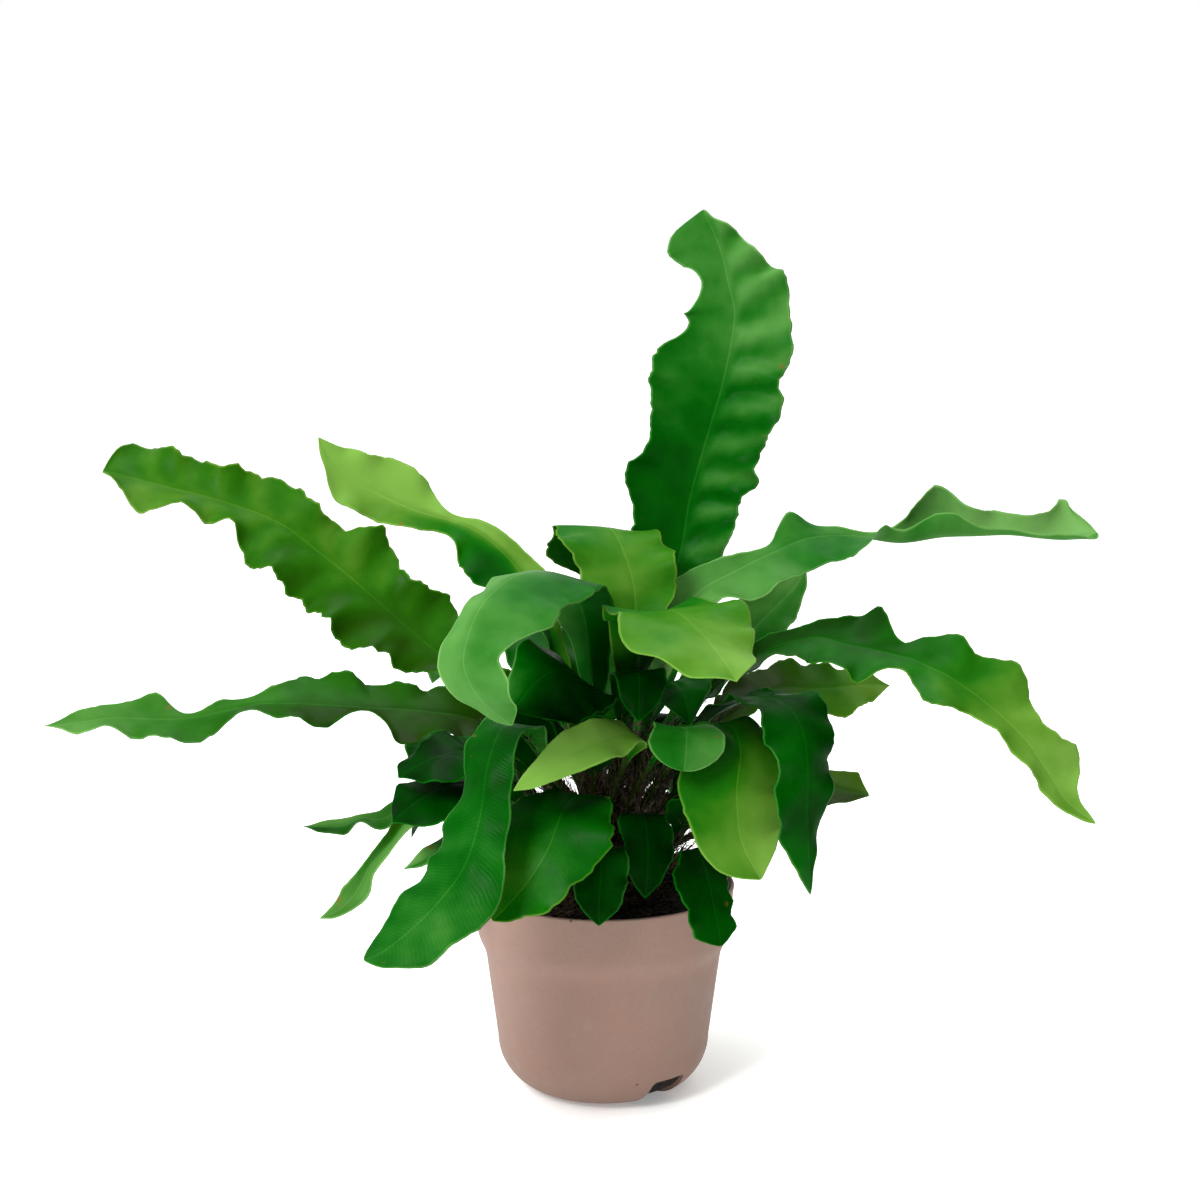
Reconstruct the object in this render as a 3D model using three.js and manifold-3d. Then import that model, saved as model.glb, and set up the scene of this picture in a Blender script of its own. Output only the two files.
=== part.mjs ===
import * as THREE from "three";
import Module from "manifold-3d";

// A harts tongue fern in its nursery pot. Millimetres, +Z up, the front towards -Y; the origin is
// the middle of the pot's underside. Azimuths run anticlockwise from +X, seen from above.

const wasm = await Module();
wasm.setup();

// Gap left between pieces that rest against each other.
const FIT = 0.3;

// The pot: a deep collar above a tapering wall with a round foot.
const POT_HEIGHT = 95;
const RIM_RADIUS = 59.5;
const RIM_BEVEL = 0.5;
const COLLAR_DEPTH = 24;
const COLLAR_RADIUS = 57;
const WALL_RADIUS = 53.8;
const STEP_HEIGHT = 5;
const WALL = 1.6;
const FLOOR = 3;
const FOOT_CURVE = 24;
const FOOT_RADIUS = 48.2;
const FOOT_STEPS = 4;
const POT_SIDES = 36;

// The drain notches in the foot, each under a hood inside the pot.
const NOTCHES = 2;
const NOTCH_AZIMUTH = -49;
const NOTCH_WIDTH = 19;
const NOTCH_HEIGHT = 14;
const NOTCH_REACH = 14;
const HOOD = 1.6;

// The peat that fills the pot, swelling towards the middle. Its edge lies part of the way up the collar.
const SOIL_TOP = 88;
const SOIL_SWELL = 3;
const SOIL_EDGE = 0.7;
const SOIL_RINGS = [0.94, 0.8, 0.55, 0.28];
const SOIL_SIDES = 18;

// The crown: the old rootstock that stands up out of the peat and holds the stalks. It is a dome that
// falls off with the square of the distance from the axis.
const CROWN_TOP = 138;
const CROWN_RADIUS = 27;
const CROWN_FALL = 0.062;
const CROWN_RINGS = [1, 0.75, 0.4];
const CROWN_SINK = 7;
const CROWN_TAPER = 3;
const CROWN_SIDES = 14;

// The stalks: round, straight inside their holes, the outer ones leaning out more.
const STALK_RADIUS = 1.5;
const HOLE_DEPTH = 7;
const HOLE_ABOVE = 14;
const HOLE_SIDES = 6;
const STALK_RISE = 5;
const STALK_STEP = 18;
const LEAN_INNER = 4;
const LEAN_PER_MM = 2.7;

// The blades: half their thickness, how far the midrib stands out underneath at the stalk, and the
// shares of the fold found at the midrib and added by the margin.
const LEAF_HALF = 0.35;
const RIB = 0.9;
const FOLD_INNER = 0.4;
const FOLD_OUTER = 1.2;
const LEAST_FOLD = 1e-4;
const LEAST_WIDTH = 0.5;

// The waves of the margin. They grow towards it with a power, reach full height where a side is wide
// enough, drift to and fro along the frond and start at another phase on each side and frond.
const RIPPLE_POWER = 1.8;
const RIPPLE_WIDTH = 14;
const DRIFT = 0.8;
const DRIFT_RATIO = 2.7;
const PHASE_STEP = 2.4;
const PHASE_SIDE = 4.08;

// The wider and narrower places along the outline, as a share of the width and in wave lengths.
const OUTLINE_WAVE = 0.07;
const OUTLINE_RATIO = 1.63;

// Half the distances over which a direction along a frond and a blade's normal are measured.
const DIRECTION_REACH = 0.5;
const NORMAL_REACH = 0.02;

// Corners nearer than this are one corner.
const WELD = 1e-4;

const POT_COLOR = 0xa08073;
const SOIL_COLOR = 0x1c1712;
const CROWN_COLOR = 0x4a3a1e;
const TONES = {
  deep: 0x0c5a14,
  green: 0x1f7a1e,
  fresh: 0x4f9a2c,
  olive: 0x3f6b1c,
};

// The columns of a frond's row after its x, y and z.
const LEFT = 3;
const RIGHT = 4;
const HANG = 5;
const FOLD = 6;

// Each frond stands at a foot on the crown (distance from the axis, azimuth) and heads for an azimuth.
// ripple is the height of the waves in the left and in the right margin and their length, step the
// distance between its sections, and fine the number of points across it, with one on the midrib. A row
// is one point of the midrib: x, y, z, the width of the blade to the left and to the right, how far the
// left side hangs and how far both sides are folded up, in degrees.
const FRONDS = [
  {
    name: "frond_tall",
    tone: "deep",
    foot: [6.5, 75],
    heading: 84,
    ripple: [1.1, 2.6, 18],
    step: 6.5,
    fine: 5,
    rows: [
      [10, 12, 160, 0, 0, 0, 0],
      [24, 29, 205, 13, 12, 0, 10],
      [36, 42, 242, 22, 20, 0, 14],
      [40, 45, 265, 30, 25, 0, 14],
      [49, 45, 298, 27, 28, 0, 12],
      [54, 46, 315, 36, 29, 0, 12],
      [59, 48, 339, 23, 27, 0, 8],
      [60, 51, 351, 22, 27, -4, 6],
      [57, 54, 364, 13, 24, -8, 4],
      [55, 58, 374, 18, 16, -8, 0],
      [51, 61, 385, 22, 9, -5, 0],
      [48, 62, 391, 20, 3, -3, 0],
      [46, 63, 396, 7, 2, 0, 0],
    ],
  },
  {
    name: "frond_big_left",
    tone: "olive",
    foot: [6.5, 190],
    heading: 172,
    ripple: [4.5, 4, 31],
    step: 7.5,
    fine: 5,
    rows: [
      [-25, 4, 157, 0, 0, 0, 0],
      [-47, 10, 177, 8, 12, 25, 10],
      [-69, 15, 193, 10, 17, 40, 10],
      [-88, 19, 208, 23, 24, 46, 8],
      [-102, 22, 220, 28, 19, 48, 8],
      [-115, 25, 231, 25, 27, 48, 6],
      [-129, 27, 242, 28, 17, 48, 6],
      [-147, 30, 255, 27, 20, 44, 8],
      [-174, 33, 265, 15, 18, 38, 16],
      [-203, 36, 272, 18, 20, 36, 14],
      [-219, 38, 276, 13, 20, 25, 14],
      [-229, 39, 278, 8, 24, 18, 12],
    ],
  },
  {
    name: "frond_light_left",
    tone: "fresh",
    foot: [6.5, 133],
    heading: 150,
    ripple: [2, 2, 24],
    step: 8,
    fine: 3,
    rows: [
      [-13, 18, 152, 0, 0, 0, 0],
      [-19, 34, 184, 6, 6, 0, 5],
      [-30, 46, 216, 10, 10, 10, 10],
      [-44, 54, 235, 22, 9, 40, 10],
      [-59, 60, 247, 17, 6, 44, 10],
      [-73, 64, 252, 8, 4, 45, 10],
      [-88, 67, 256, 11, 15, 50, 10],
      [-103, 70, 262, 13, 18, 60, 8],
      [-118, 72, 270, 12, 16, 60, 8],
      [-128, 73, 279, 5, 9, 50, 8],
      [-134, 74, 290, 1, 1, 40, 0],
    ],
  },
  {
    name: "frond_curled",
    tone: "green",
    foot: [6.5, 250],
    heading: 241,
    ripple: [1.5, 1.5, 30],
    step: 8,
    fine: 5,
    rows: [
      [-3, -10, 158, 0, 0, 0, 0],
      [-5, -14, 196, 8, 8, 0, 10],
      [-9, -28, 226, 16, 18, 0, 0],
      [-20, -52, 245, 24, 23, 0, -10],
      [-35, -78, 249, 31, 12, 0, -15],
      [-48, -100, 242, 31, 10, 0, -15],
      [-54, -112, 231, 21, 12, 0, -10],
      [-56, -118, 219, 18, 11, 0, 0],
      [-51, -118, 207, 19, 11, 0, 0],
      [-44, -115, 199, 14, 8, 0, 0],
      [-37, -112, 193, 3, 3, 0, 0],
    ],
  },
  {
    name: "frond_arch_back",
    tone: "green",
    foot: [6.5, 312],
    heading: 97,
    ripple: [2, 2, 22],
    step: 8,
    fine: 5,
    rows: [
      [7, -5, 162, 0, 0, 0, 0],
      [13, -7, 206, 11, 9, 0, 10],
      [14, -3, 229, 20, 18, 0, 10],
      [9, 7, 246, 26, 21, -4, 5],
      [3, 22, 254, 26, 20, -8, -5],
      [-4, 38, 250, 23, 16, -4, -15],
      [-7, 52, 237, 16, 13, 0, -20],
      [-9, 60, 225, 1, 1, 0, 0],
    ],
  },
  {
    name: "frond_right_long",
    tone: "green",
    foot: [6.5, 12],
    heading: 14,
    ripple: [3, 2.5, 30],
    step: 7.5,
    fine: 5,
    rows: [
      [16, 3, 157, 0, 0, 0, 0],
      [28, 8, 196, 8, 8, -20, 5],
      [40, 14, 223, 14, 14, -32, 8],
      [64, 25, 236, 8, 22, -34, 8],
      [78, 30, 242, 6, 21, -34, 6],
      [92, 35, 247, 15, 20, -34, 6],
      [104, 40, 248, 9, 24, -26, 6],
      [119, 44, 247, 4, 17, -12, 24],
      [138, 48, 244, 9, 8, 0, 65],
      [158, 52, 246, 28, 14, 0, 66],
      [173, 55, 246, 16, 7, 0, 62],
      [190, 58, 246, 11, 4, -4, 56],
      [205, 61, 244, 14, 4, -10, 50],
      [217, 63, 243, 21, 6, -12, 44],
      [227, 65, 244, 23, 13, -15, 30],
      [232, 66, 246, 17, 10, -15, 26],
    ],
  },
  {
    name: "frond_right_back_lobe",
    tone: "deep",
    foot: [11, 42],
    heading: 38,
    ripple: [2, 2, 24],
    step: 8,
    fine: 3,
    rows: [
      [21, 18, 152, 0, 0, 0, 0],
      [42, 36, 178, 8, 8, -20, 5],
      [63, 56, 194, 14, 14, -35, 5],
      [78, 68, 206, 15, 12, -40, 5],
      [91, 76, 218, 11, 7, -40, 5],
      [97, 80, 226, 1, 1, -35, 0],
    ],
  },
  {
    name: "frond_yellow_front",
    tone: "fresh",
    foot: [11, 300],
    heading: 300,
    ripple: [2, 2, 26],
    step: 8,
    fine: 5,
    rows: [
      [9, -16, 160, 0, 0, 0, 0],
      [14, -24, 199, 9, 9, 0, 10],
      [18, -42, 223, 18, 18, 0, 10],
      [29, -74, 233, 28, 28, 0, 4],
      [40, -100, 228, 27, 30, 0, -8],
      [49, -116, 219, 14, 18, 0, -10],
      [53, -122, 213, 2, 2, 0, 0],
    ],
  },
  {
    name: "frond_right_droop",
    tone: "green",
    foot: [11, 350],
    heading: 347,
    ripple: [1.6, 2.2, 26],
    step: 7,
    fine: 5,
    rows: [
      [23, -6, 158, 0, 0, 0, 0],
      [48, -14, 186, 9, 13, -10, 10],
      [71, -22, 206, 9, 18, -20, 15],
      [92, -27, 213, 9, 20, -30, 12],
      [106, -34, 211, 19, 18, -32, 8],
      [114, -37, 210, 25, 21, -32, 8],
      [121, -40, 209, 13, 20, -34, 8],
      [127, -43, 208, 8, 13, -34, 8],
      [133, -46, 207, 15, 9, -33, 5],
      [140, -49, 204, 23, 15, -32, 5],
      [147, -52, 201, 21, 22, -32, 5],
      [162, -57, 191, 26, 12, -34, 5],
      [178, -64, 177, 13, 10, -36, 5],
      [188, -68, 163, 21, 10, -38, 5],
      [196, -71, 151, 7, 6, -40, 5],
      [208, -74, 142, 1, 2, -40, 0],
    ],
  },
  {
    name: "frond_olive_back",
    tone: "olive",
    foot: [17, 18],
    heading: 22,
    ripple: [2, 2, 22],
    step: 8,
    fine: 3,
    rows: [
      [34, 18, 144, 0, 0, 0, 0],
      [62, 46, 166, 13, 12, -10, 5],
      [84, 70, 170, 16, 16, -30, 5],
      [107, 84, 167, 16, 16, -38, 0],
      [126, 92, 167, 12, 12, -36, 0],
      [140, 97, 166, 1, 1, -30, 0],
    ],
  },
  {
    name: "frond_dark_right",
    tone: "deep",
    foot: [17, 322],
    heading: 312,
    ripple: [2, 2, 24],
    step: 7,
    fine: 3,
    rows: [
      [28, -22, 150, 0, 0, 0, 0],
      [46, -43, 181, 7, 8, 0, 10],
      [63, -62, 194, 14, 12, 0, 5],
      [75, -79, 195, 19, 16, 0, 0],
      [82, -91, 186, 20, 18, 0, -8],
      [84, -97, 170, 17, 17, 0, -8],
      [84, -98, 152, 12, 16, 0, -6],
      [85, -97, 132, 4, 9, 0, -5],
      [86, -95, 117, 1, 1, 0, 0],
    ],
  },
  {
    name: "frond_front_right",
    tone: "green",
    foot: [17, 302],
    heading: 288,
    ripple: [1.8, 1.8, 24],
    step: 7.5,
    fine: 5,
    rows: [
      [24, -34, 150, 0, 0, 0, 0],
      [41, -54, 177, 10, 12, 0, 8],
      [52, -69, 184, 13, 10, 0, 0],
      [57, -82, 177, 18, 15, 0, -8],
      [55, -94, 160, 20, 24, 0, -8],
      [57, -99, 141, 21, 18, 0, -6],
      [65, -100, 125, 4, 3, 0, 0],
    ],
  },
  {
    name: "frond_stub_right",
    tone: "olive",
    foot: [23, 350],
    heading: 352,
    ripple: [1.5, 1.5, 20],
    step: 8,
    fine: 3,
    rows: [
      [42, -8, 128, 0, 0, 0, 0],
      [73, -20, 147, 8, 9, -10, 10],
      [95, -30, 148, 11, 21, -20, 10],
      [108, -36, 146, 11, 18, -22, 15],
      [116, -38, 145, 3, 5, -15, 15],
    ],
  },
  {
    name: "frond_veined_left",
    tone: "green",
    foot: [17, 238],
    heading: 238,
    ripple: [2, 2, 26],
    step: 7,
    fine: 5,
    rows: [
      [-18, -30, 145, 0, 0, 0, 0],
      [-33, -54, 177, 10, 10, 0, 8],
      [-42, -74, 184, 12, 12, 0, 0],
      [-48, -90, 171, 12, 13, 0, -8],
      [-51, -100, 151, 13, 16, 0, -10],
      [-57, -108, 133, 20, 20, 0, -10],
      [-67, -114, 120, 22, 20, 0, -8],
      [-78, -120, 110, 21, 15, 0, -5],
      [-89, -124, 102, 15, 12, 0, 0],
      [-97, -127, 99, 4, 4, 0, 0],
    ],
  },
  {
    name: "frond_bright_front",
    tone: "fresh",
    foot: [23, 255],
    heading: 255,
    ripple: [1.6, 1.6, 20],
    step: 7,
    fine: 5,
    rows: [
      [-8, -36, 122, 0, 0, 0, 0],
      [-10, -58, 150, 12, 13, 0, 5],
      [-17, -80, 149, 22, 25, 0, -5],
      [-23, -92, 136, 22, 26, 0, -6],
      [-31, -98, 124, 16, 22, 0, -4],
      [-39, -101, 115, 9, 13, 0, 0],
      [-46, -102, 108, 3, 4, 0, 0],
    ],
  },
  {
    name: "frond_front_small",
    tone: "green",
    foot: [23, 270],
    heading: 268,
    ripple: [1.2, 1.2, 20],
    step: 7,
    fine: 3,
    rows: [
      [1, -40, 115, 0, 0, 0, 0],
      [0, -58, 127, 9, 9, 0, 0],
      [-1, -68, 118, 12, 12, 0, -8],
      [-2, -75, 106, 9, 9, 0, -5],
      [-2, -77, 98, 2, 2, 0, 0],
    ],
  },
  {
    name: "frond_front_mid",
    tone: "deep",
    foot: [23, 290],
    heading: 283,
    ripple: [1.2, 1.2, 20],
    step: 7,
    fine: 3,
    rows: [
      [13, -34, 122, 0, 0, 0, 0],
      [17, -44, 138, 10, 10, 0, 0],
      [19, -51, 130, 12, 12, 0, -8],
      [19, -55, 116, 9, 9, 0, -5],
      [18, -56, 104, 2, 2, 0, 0],
    ],
  },
  {
    name: "frond_rim_right",
    tone: "deep",
    foot: [23, 308],
    heading: 305,
    ripple: [1.6, 1.6, 20],
    step: 7,
    fine: 3,
    rows: [
      [28, -35, 114, 0, 0, 0, 0],
      [40, -50, 124, 9, 8, 0, 0],
      [44, -62, 117, 12, 14, 0, -6],
      [47, -72, 105, 10, 15, 0, -6],
      [49, -76, 95, 9, 12, 0, -5],
      [50, -77, 89, 4, 5, 0, 0],
    ],
  },
  {
    name: "frond_long_left",
    tone: "green",
    foot: [11, 190],
    heading: 190,
    ripple: [2.6, 2.6, 28],
    step: 8,
    fine: 3,
    rows: [
      [-30, -4, 154, 0, 0, 0, 0],
      [-56, -14, 173, 16, 14, 26, 10],
      [-77, -23, 179, 19, 15, 30, 8],
      [-94, -26, 181, 21, 16, 28, 5],
      [-103, -29, 182, 3, 17, 26, 5],
      [-127, -35, 185, 17, 22, 25, 5],
      [-148, -39, 186, 7, 7, 20, 5],
      [-162, -42, 184, 9, 8, 20, 5],
      [-179, -45, 181, 19, 4, 24, 5],
      [-193, -47, 181, 17, 13, 25, 5],
      [-211, -49, 182, 9, 12, 24, 5],
      [-227, -50, 180, 7, 7, 20, 5],
      [-240, -51, 179, 1, 1, 15, 0],
    ],
  },
  {
    name: "frond_dark_left",
    tone: "deep",
    foot: [17, 208],
    heading: 207,
    ripple: [2, 2, 22],
    step: 8,
    fine: 3,
    rows: [
      [-30, -19, 138, 0, 0, 0, 0],
      [-46, -38, 160, 11, 11, 10, 8],
      [-60, -52, 168, 16, 16, 20, 0],
      [-72, -60, 167, 16, 14, 20, -5],
      [-82, -64, 163, 11, 10, 15, -5],
      [-87, -67, 160, 2, 2, 10, 0],
    ],
  },
  {
    name: "frond_dark_left_low",
    tone: "deep",
    foot: [23, 216],
    heading: 216,
    ripple: [2, 2, 22],
    step: 8,
    fine: 3,
    rows: [
      [-32, -24, 122, 0, 0, 0, 0],
      [-47, -41, 147, 10, 10, 10, 5],
      [-64, -54, 154, 19, 16, 15, -5],
      [-77, -61, 150, 19, 16, 15, -8],
      [-86, -65, 144, 11, 10, 10, -5],
      [-90, -67, 140, 1, 1, 5, 0],
    ],
  },
  {
    name: "frond_ribbon_left",
    tone: "green",
    foot: [23, 198],
    heading: 200,
    ripple: [1.5, 1.5, 22],
    step: 8,
    fine: 3,
    rows: [
      [-42, -14, 122, 0, 0, 0, 0],
      [-66, -26, 136, 5, 5, 10, 5],
      [-84, -34, 134, 5, 6, 30, 5],
      [-93, -38, 124, 5, 5, 20, 5],
      [-102, -41, 114, 4, 4, 40, 5],
      [-108, -44, 103, 6, 6, 40, 5],
      [-115, -46, 96, 5, 5, 30, 5],
      [-124, -47, 92, 1, 1, 20, 0],
    ],
  },
  {
    name: "frond_ribbon_back",
    tone: "green",
    foot: [23, 176],
    heading: 170,
    ripple: [1.5, 1.5, 18],
    step: 8,
    fine: 3,
    rows: [
      [-44, 4, 122, 0, 0, 0, 0],
      [-70, 10, 134, 4, 4, 15, 5],
      [-90, 16, 127, 6, 6, 20, 5],
      [-102, 20, 119, 7, 6, 40, 5],
      [-112, 22, 119, 4, 3, 20, 5],
      [-120, 24, 115, 7, 5, 30, 5],
      [-129, 25, 114, 5, 4, 25, 5],
      [-139, 26, 114, 1, 1, 10, 0],
    ],
  },
  {
    name: "frond_sliver_left",
    tone: "green",
    foot: [23, 236],
    heading: 226,
    ripple: [1.5, 1.5, 20],
    step: 8,
    fine: 3,
    rows: [
      [-26, -34, 120, 0, 0, 0, 0],
      [-50, -46, 134, 6, 6, 10, 0],
      [-69, -54, 127, 5, 5, 10, 0],
      [-79, -58, 121, 4, 4, 10, 0],
      [-86, -60, 118, 1, 1, 0, 0],
    ],
  },
  {
    name: "frond_shade_left",
    tone: "deep",
    foot: [11, 226],
    heading: 235,
    ripple: [2, 1.5, 24],
    step: 7,
    fine: 3,
    rows: [
      [-5, -17, 165, 0, 0, 0, 0],
      [-6, -28, 187, 14, 12, 10, 5],
      [-12, -38, 199, 24, 18, 28, 0],
      [-20, -48, 203, 29, 20, 36, -5],
      [-29, -57, 199, 25, 14, 38, -6],
      [-38, -64, 189, 9, 6, 34, 0],
    ],
  },
  {
    name: "frond_yellow_center",
    tone: "fresh",
    foot: [17, 266],
    heading: 228,
    ripple: [1.5, 1.5, 24],
    step: 8,
    fine: 3,
    rows: [
      [7, -32, 152, 0, 0, 0, 0],
      [13, -54, 176, 8, 8, 20, 5],
      [1, -74, 179, 11, 11, 35, 5],
      [-13, -88, 176, 10, 9, 38, 5],
      [-26, -96, 169, 6, 6, 35, 5],
      [-37, -101, 163, 1, 1, 30, 0],
    ],
  },
  {
    name: "frond_cupped_center",
    tone: "green",
    foot: [17, 286],
    heading: 280,
    ripple: [1.4, 1.4, 22],
    step: 7,
    fine: 3,
    rows: [
      [16, -38, 152, 0, 0, 0, 0],
      [28, -64, 176, 6, 5, 0, 10],
      [34, -84, 186, 12, 14, 0, 5],
      [34, -97, 182, 15, 16, 0, 0],
      [33, -104, 172, 10, 10, 0, -10],
    ],
  },
  {
    name: "frond_shade_right",
    tone: "deep",
    foot: [11, 326],
    heading: 318,
    ripple: [1.6, 1.6, 24],
    step: 7,
    fine: 3,
    rows: [
      [17, -11, 160, 0, 0, 0, 0],
      [23, -20, 182, 11, 9, 0, 8],
      [29, -32, 194, 17, 15, 0, 0],
      [33, -43, 194, 16, 17, 0, -5],
      [36, -50, 187, 8, 14, 0, -8],
      [37, -54, 180, 3, 4, 0, -5],
    ],
  },
  {
    name: "frond_back_right",
    tone: "green",
    foot: [11, 68],
    heading: 68,
    ripple: [3, 3, 26],
    step: 12,
    fine: 3,
    rows: [
      [12, 24, 142, 0, 0, 0, 0],
      [23, 48, 178, 15, 13, 0, 8],
      [36, 80, 196, 18, 18, 0, 6],
      [48, 110, 200, 18, 18, 0, 0],
      [58, 138, 190, 16, 16, 0, -5],
      [66, 160, 172, 9, 9, 0, -5],
      [69, 171, 158, 1, 1, 0, 0],
    ],
  },
  {
    name: "frond_back_middle",
    tone: "green",
    foot: [17, 92],
    heading: 92,
    ripple: [3, 3, 26],
    step: 12,
    fine: 3,
    rows: [
      [-1, 25, 138, 0, 0, 0, 0],
      [-2, 44, 176, 15, 15, 0, 8],
      [-2, 76, 206, 18, 18, 0, 6],
      [-3, 106, 210, 19, 19, 0, 0],
      [-2, 138, 200, 16, 16, 0, -5],
      [0, 165, 180, 10, 10, 0, -5],
      [1, 180, 163, 1, 1, 0, 0],
    ],
  },
  {
    name: "frond_back_left",
    tone: "green",
    foot: [11, 108],
    heading: 116,
    ripple: [3, 3, 26],
    step: 12,
    fine: 3,
    rows: [
      [-10, 24, 142, 0, 0, 0, 0],
      [-22, 47, 176, 13, 15, 0, 8],
      [-42, 78, 194, 17, 17, 0, 6],
      [-58, 108, 197, 17, 17, 0, 0],
      [-73, 134, 187, 15, 15, 0, -5],
      [-83, 154, 168, 9, 9, 0, -5],
      [-88, 164, 153, 1, 1, 0, 0],
    ],
  },
  {
    name: "frond_back_low_left",
    tone: "deep",
    foot: [17, 150],
    heading: 140,
    ripple: [2, 2, 22],
    step: 9.5,
    fine: 3,
    rows: [
      [-30, 24, 138, 0, 0, 0, 0],
      [-48, 42, 152, 12, 12, 0, 5],
      [-68, 60, 155, 15, 15, 0, 0],
      [-83, 75, 147, 13, 13, 0, -5],
      [-90, 84, 133, 8, 8, 0, -5],
      [-93, 89, 121, 1, 1, 0, 0],
    ],
  },
  {
    name: "frond_back_low_right",
    tone: "deep",
    foot: [17, 44],
    heading: 38,
    ripple: [2, 2, 22],
    step: 9.5,
    fine: 3,
    rows: [
      [31, 29, 142, 0, 0, 0, 0],
      [50, 45, 151, 12, 12, 0, 5],
      [72, 61, 152, 15, 15, 0, 0],
      [90, 75, 144, 12, 12, 0, -5],
      [102, 85, 132, 7, 7, 0, -5],
      [107, 89, 122, 1, 1, 0, 0],
    ],
  },
  {
    name: "frond_back_skirt_right",
    tone: "green",
    foot: [23, 68],
    heading: 66,
    ripple: [2, 2, 22],
    step: 9.5,
    fine: 3,
    rows: [
      [15, 40, 120, 0, 0, 0, 0],
      [23, 56, 138, 16, 14, 0, 5],
      [32, 77, 138, 18, 18, 0, 0],
      [39, 94, 124, 15, 15, 0, -5],
      [43, 106, 105, 8, 8, 0, -5],
      [44, 112, 90, 1, 1, 0, 0],
    ],
  },
  {
    name: "frond_back_skirt_middle",
    tone: "deep",
    foot: [23, 95],
    heading: 94,
    ripple: [2, 2, 22],
    step: 9.5,
    fine: 3,
    rows: [
      [-3, 42, 122, 0, 0, 0, 0],
      [-4, 60, 144, 16, 16, 0, 5],
      [-6, 82, 148, 18, 18, 0, 0],
      [-7, 100, 136, 15, 15, 0, -5],
      [-8, 113, 117, 8, 8, 0, -5],
      [-8, 119, 100, 1, 1, 0, 0],
    ],
  },
  {
    name: "frond_back_skirt_left",
    tone: "green",
    foot: [23, 122],
    heading: 124,
    ripple: [2, 2, 22],
    step: 9.5,
    fine: 3,
    rows: [
      [-22, 38, 120, 0, 0, 0, 0],
      [-33, 53, 138, 14, 16, 0, 5],
      [-46, 72, 138, 17, 18, 0, 0],
      [-56, 87, 125, 14, 14, 0, -5],
      [-62, 98, 108, 7, 7, 0, -5],
      [-65, 103, 95, 1, 1, 0, 0],
    ],
  },
  {
    name: "frond_low_right",
    tone: "deep",
    foot: [23, 20],
    heading: 18,
    ripple: [2, 2, 22],
    step: 9.5,
    fine: 3,
    rows: [
      [40, 13, 113, 0, 0, 0, 0],
      [56, 18, 124, 9, 12, 0, 5],
      [73, 23, 125, 10, 14, 0, 0],
      [87, 28, 117, 8, 11, 0, -5],
      [95, 31, 106, 5, 6, 0, -5],
      [98, 32, 99, 1, 1, 0, 0],
    ],
  },
  {
    name: "frond_low_left",
    tone: "deep",
    foot: [23, 155],
    heading: 158,
    ripple: [2, 2, 22],
    step: 9.5,
    fine: 3,
    rows: [
      [-42, 20, 117, 0, 0, 0, 0],
      [-58, 26, 128, 10, 10, 0, 5],
      [-73, 32, 128, 12, 12, 0, 0],
      [-83, 36, 119, 9, 9, 0, -5],
      [-88, 38, 110, 4, 4, 0, -5],
      [-90, 39, 105, 1, 1, 0, 0],
    ],
  },
  {
    name: "frond_shade_middle",
    tone: "deep",
    foot: [11, 272],
    heading: 272,
    ripple: [1.6, 1.6, 24],
    step: 7,
    fine: 3,
    rows: [
      [7, -20, 160, 0, 0, 0, 0],
      [9, -30, 186, 6, 6, 0, 8],
      [13, -41, 200, 12, 10, 0, 4],
      [15, -53, 201, 12, 11, 0, 0],
      [15, -61, 193, 9, 8, 0, -5],
      [15, -65, 184, 2, 2, 0, -5],
    ],
  },
  {
    name: "frond_inner_right",
    tone: "deep",
    foot: [23, 330],
    heading: 290,
    ripple: [1.6, 1.6, 22],
    step: 8,
    fine: 3,
    rows: [
      [30, -21, 120, 0, 0, 0, 0],
      [37, -31, 134, 11, 12, 0, 5],
      [42, -40, 143, 14, 13, 0, 0],
      [46, -48, 147, 12, 11, 0, -5],
      [50, -54, 144, 6, 6, 0, -8],
      [52, -57, 139, 1, 1, 0, 0],
    ],
  },
  {
    name: "frond_inner_left",
    tone: "deep",
    foot: [17, 174],
    heading: 180,
    ripple: [1.6, 1.6, 22],
    step: 8,
    fine: 3,
    rows: [
      [-27, 0, 130, 0, 0, 0, 0],
      [-37, -4, 141, 10, 10, 50, 5],
      [-50, -7, 143, 12, 12, 68, 0],
      [-60, -8, 138, 9, 9, 68, -5],
      [-66, -9, 132, 1, 1, 60, 0],
    ],
  },
  {
    name: "frond_inner_middle",
    tone: "deep",
    foot: [17, 358],
    heading: 2,
    ripple: [1.6, 1.6, 22],
    step: 8,
    fine: 3,
    rows: [
      [28, -1, 132, 0, 0, 0, 0],
      [39, 1, 143, 12, 10, -50, 0],
      [52, 2, 148, 13, 12, -55, 0],
      [62, 3, 149, 10, 9, -55, 0],
      [68, 3, 148, 2, 2, -50, 0],
    ],
  },
  {
    name: "frond_inner_back",
    tone: "deep",
    foot: [23, 44],
    heading: 42,
    ripple: [1.6, 1.6, 22],
    step: 8,
    fine: 3,
    rows: [
      [26, 24, 110, 0, 0, 0, 0],
      [34, 33, 121, 14, 9, 0, 5],
      [43, 43, 121, 16, 10, 0, 0],
      [51, 50, 111, 12, 8, 0, -5],
      [55, 54, 99, 2, 2, 0, 0],
    ],
  },
  {
    name: "frond_center_back",
    tone: "deep",
    foot: [17, 68],
    heading: 60,
    ripple: [1.6, 1.6, 22],
    step: 8,
    fine: 3,
    rows: [
      [14, 26, 138, 0, 0, 0, 0],
      [22, 38, 154, 12, 12, 0, 8],
      [31, 50, 161, 16, 15, 0, 0],
      [40, 63, 157, 11, 11, 0, -5],
      [44, 69, 149, 2, 2, 0, 0],
    ],
  },
  {
    name: "frond_fill_left",
    tone: "deep",
    foot: [17, 223],
    heading: 262,
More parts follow.
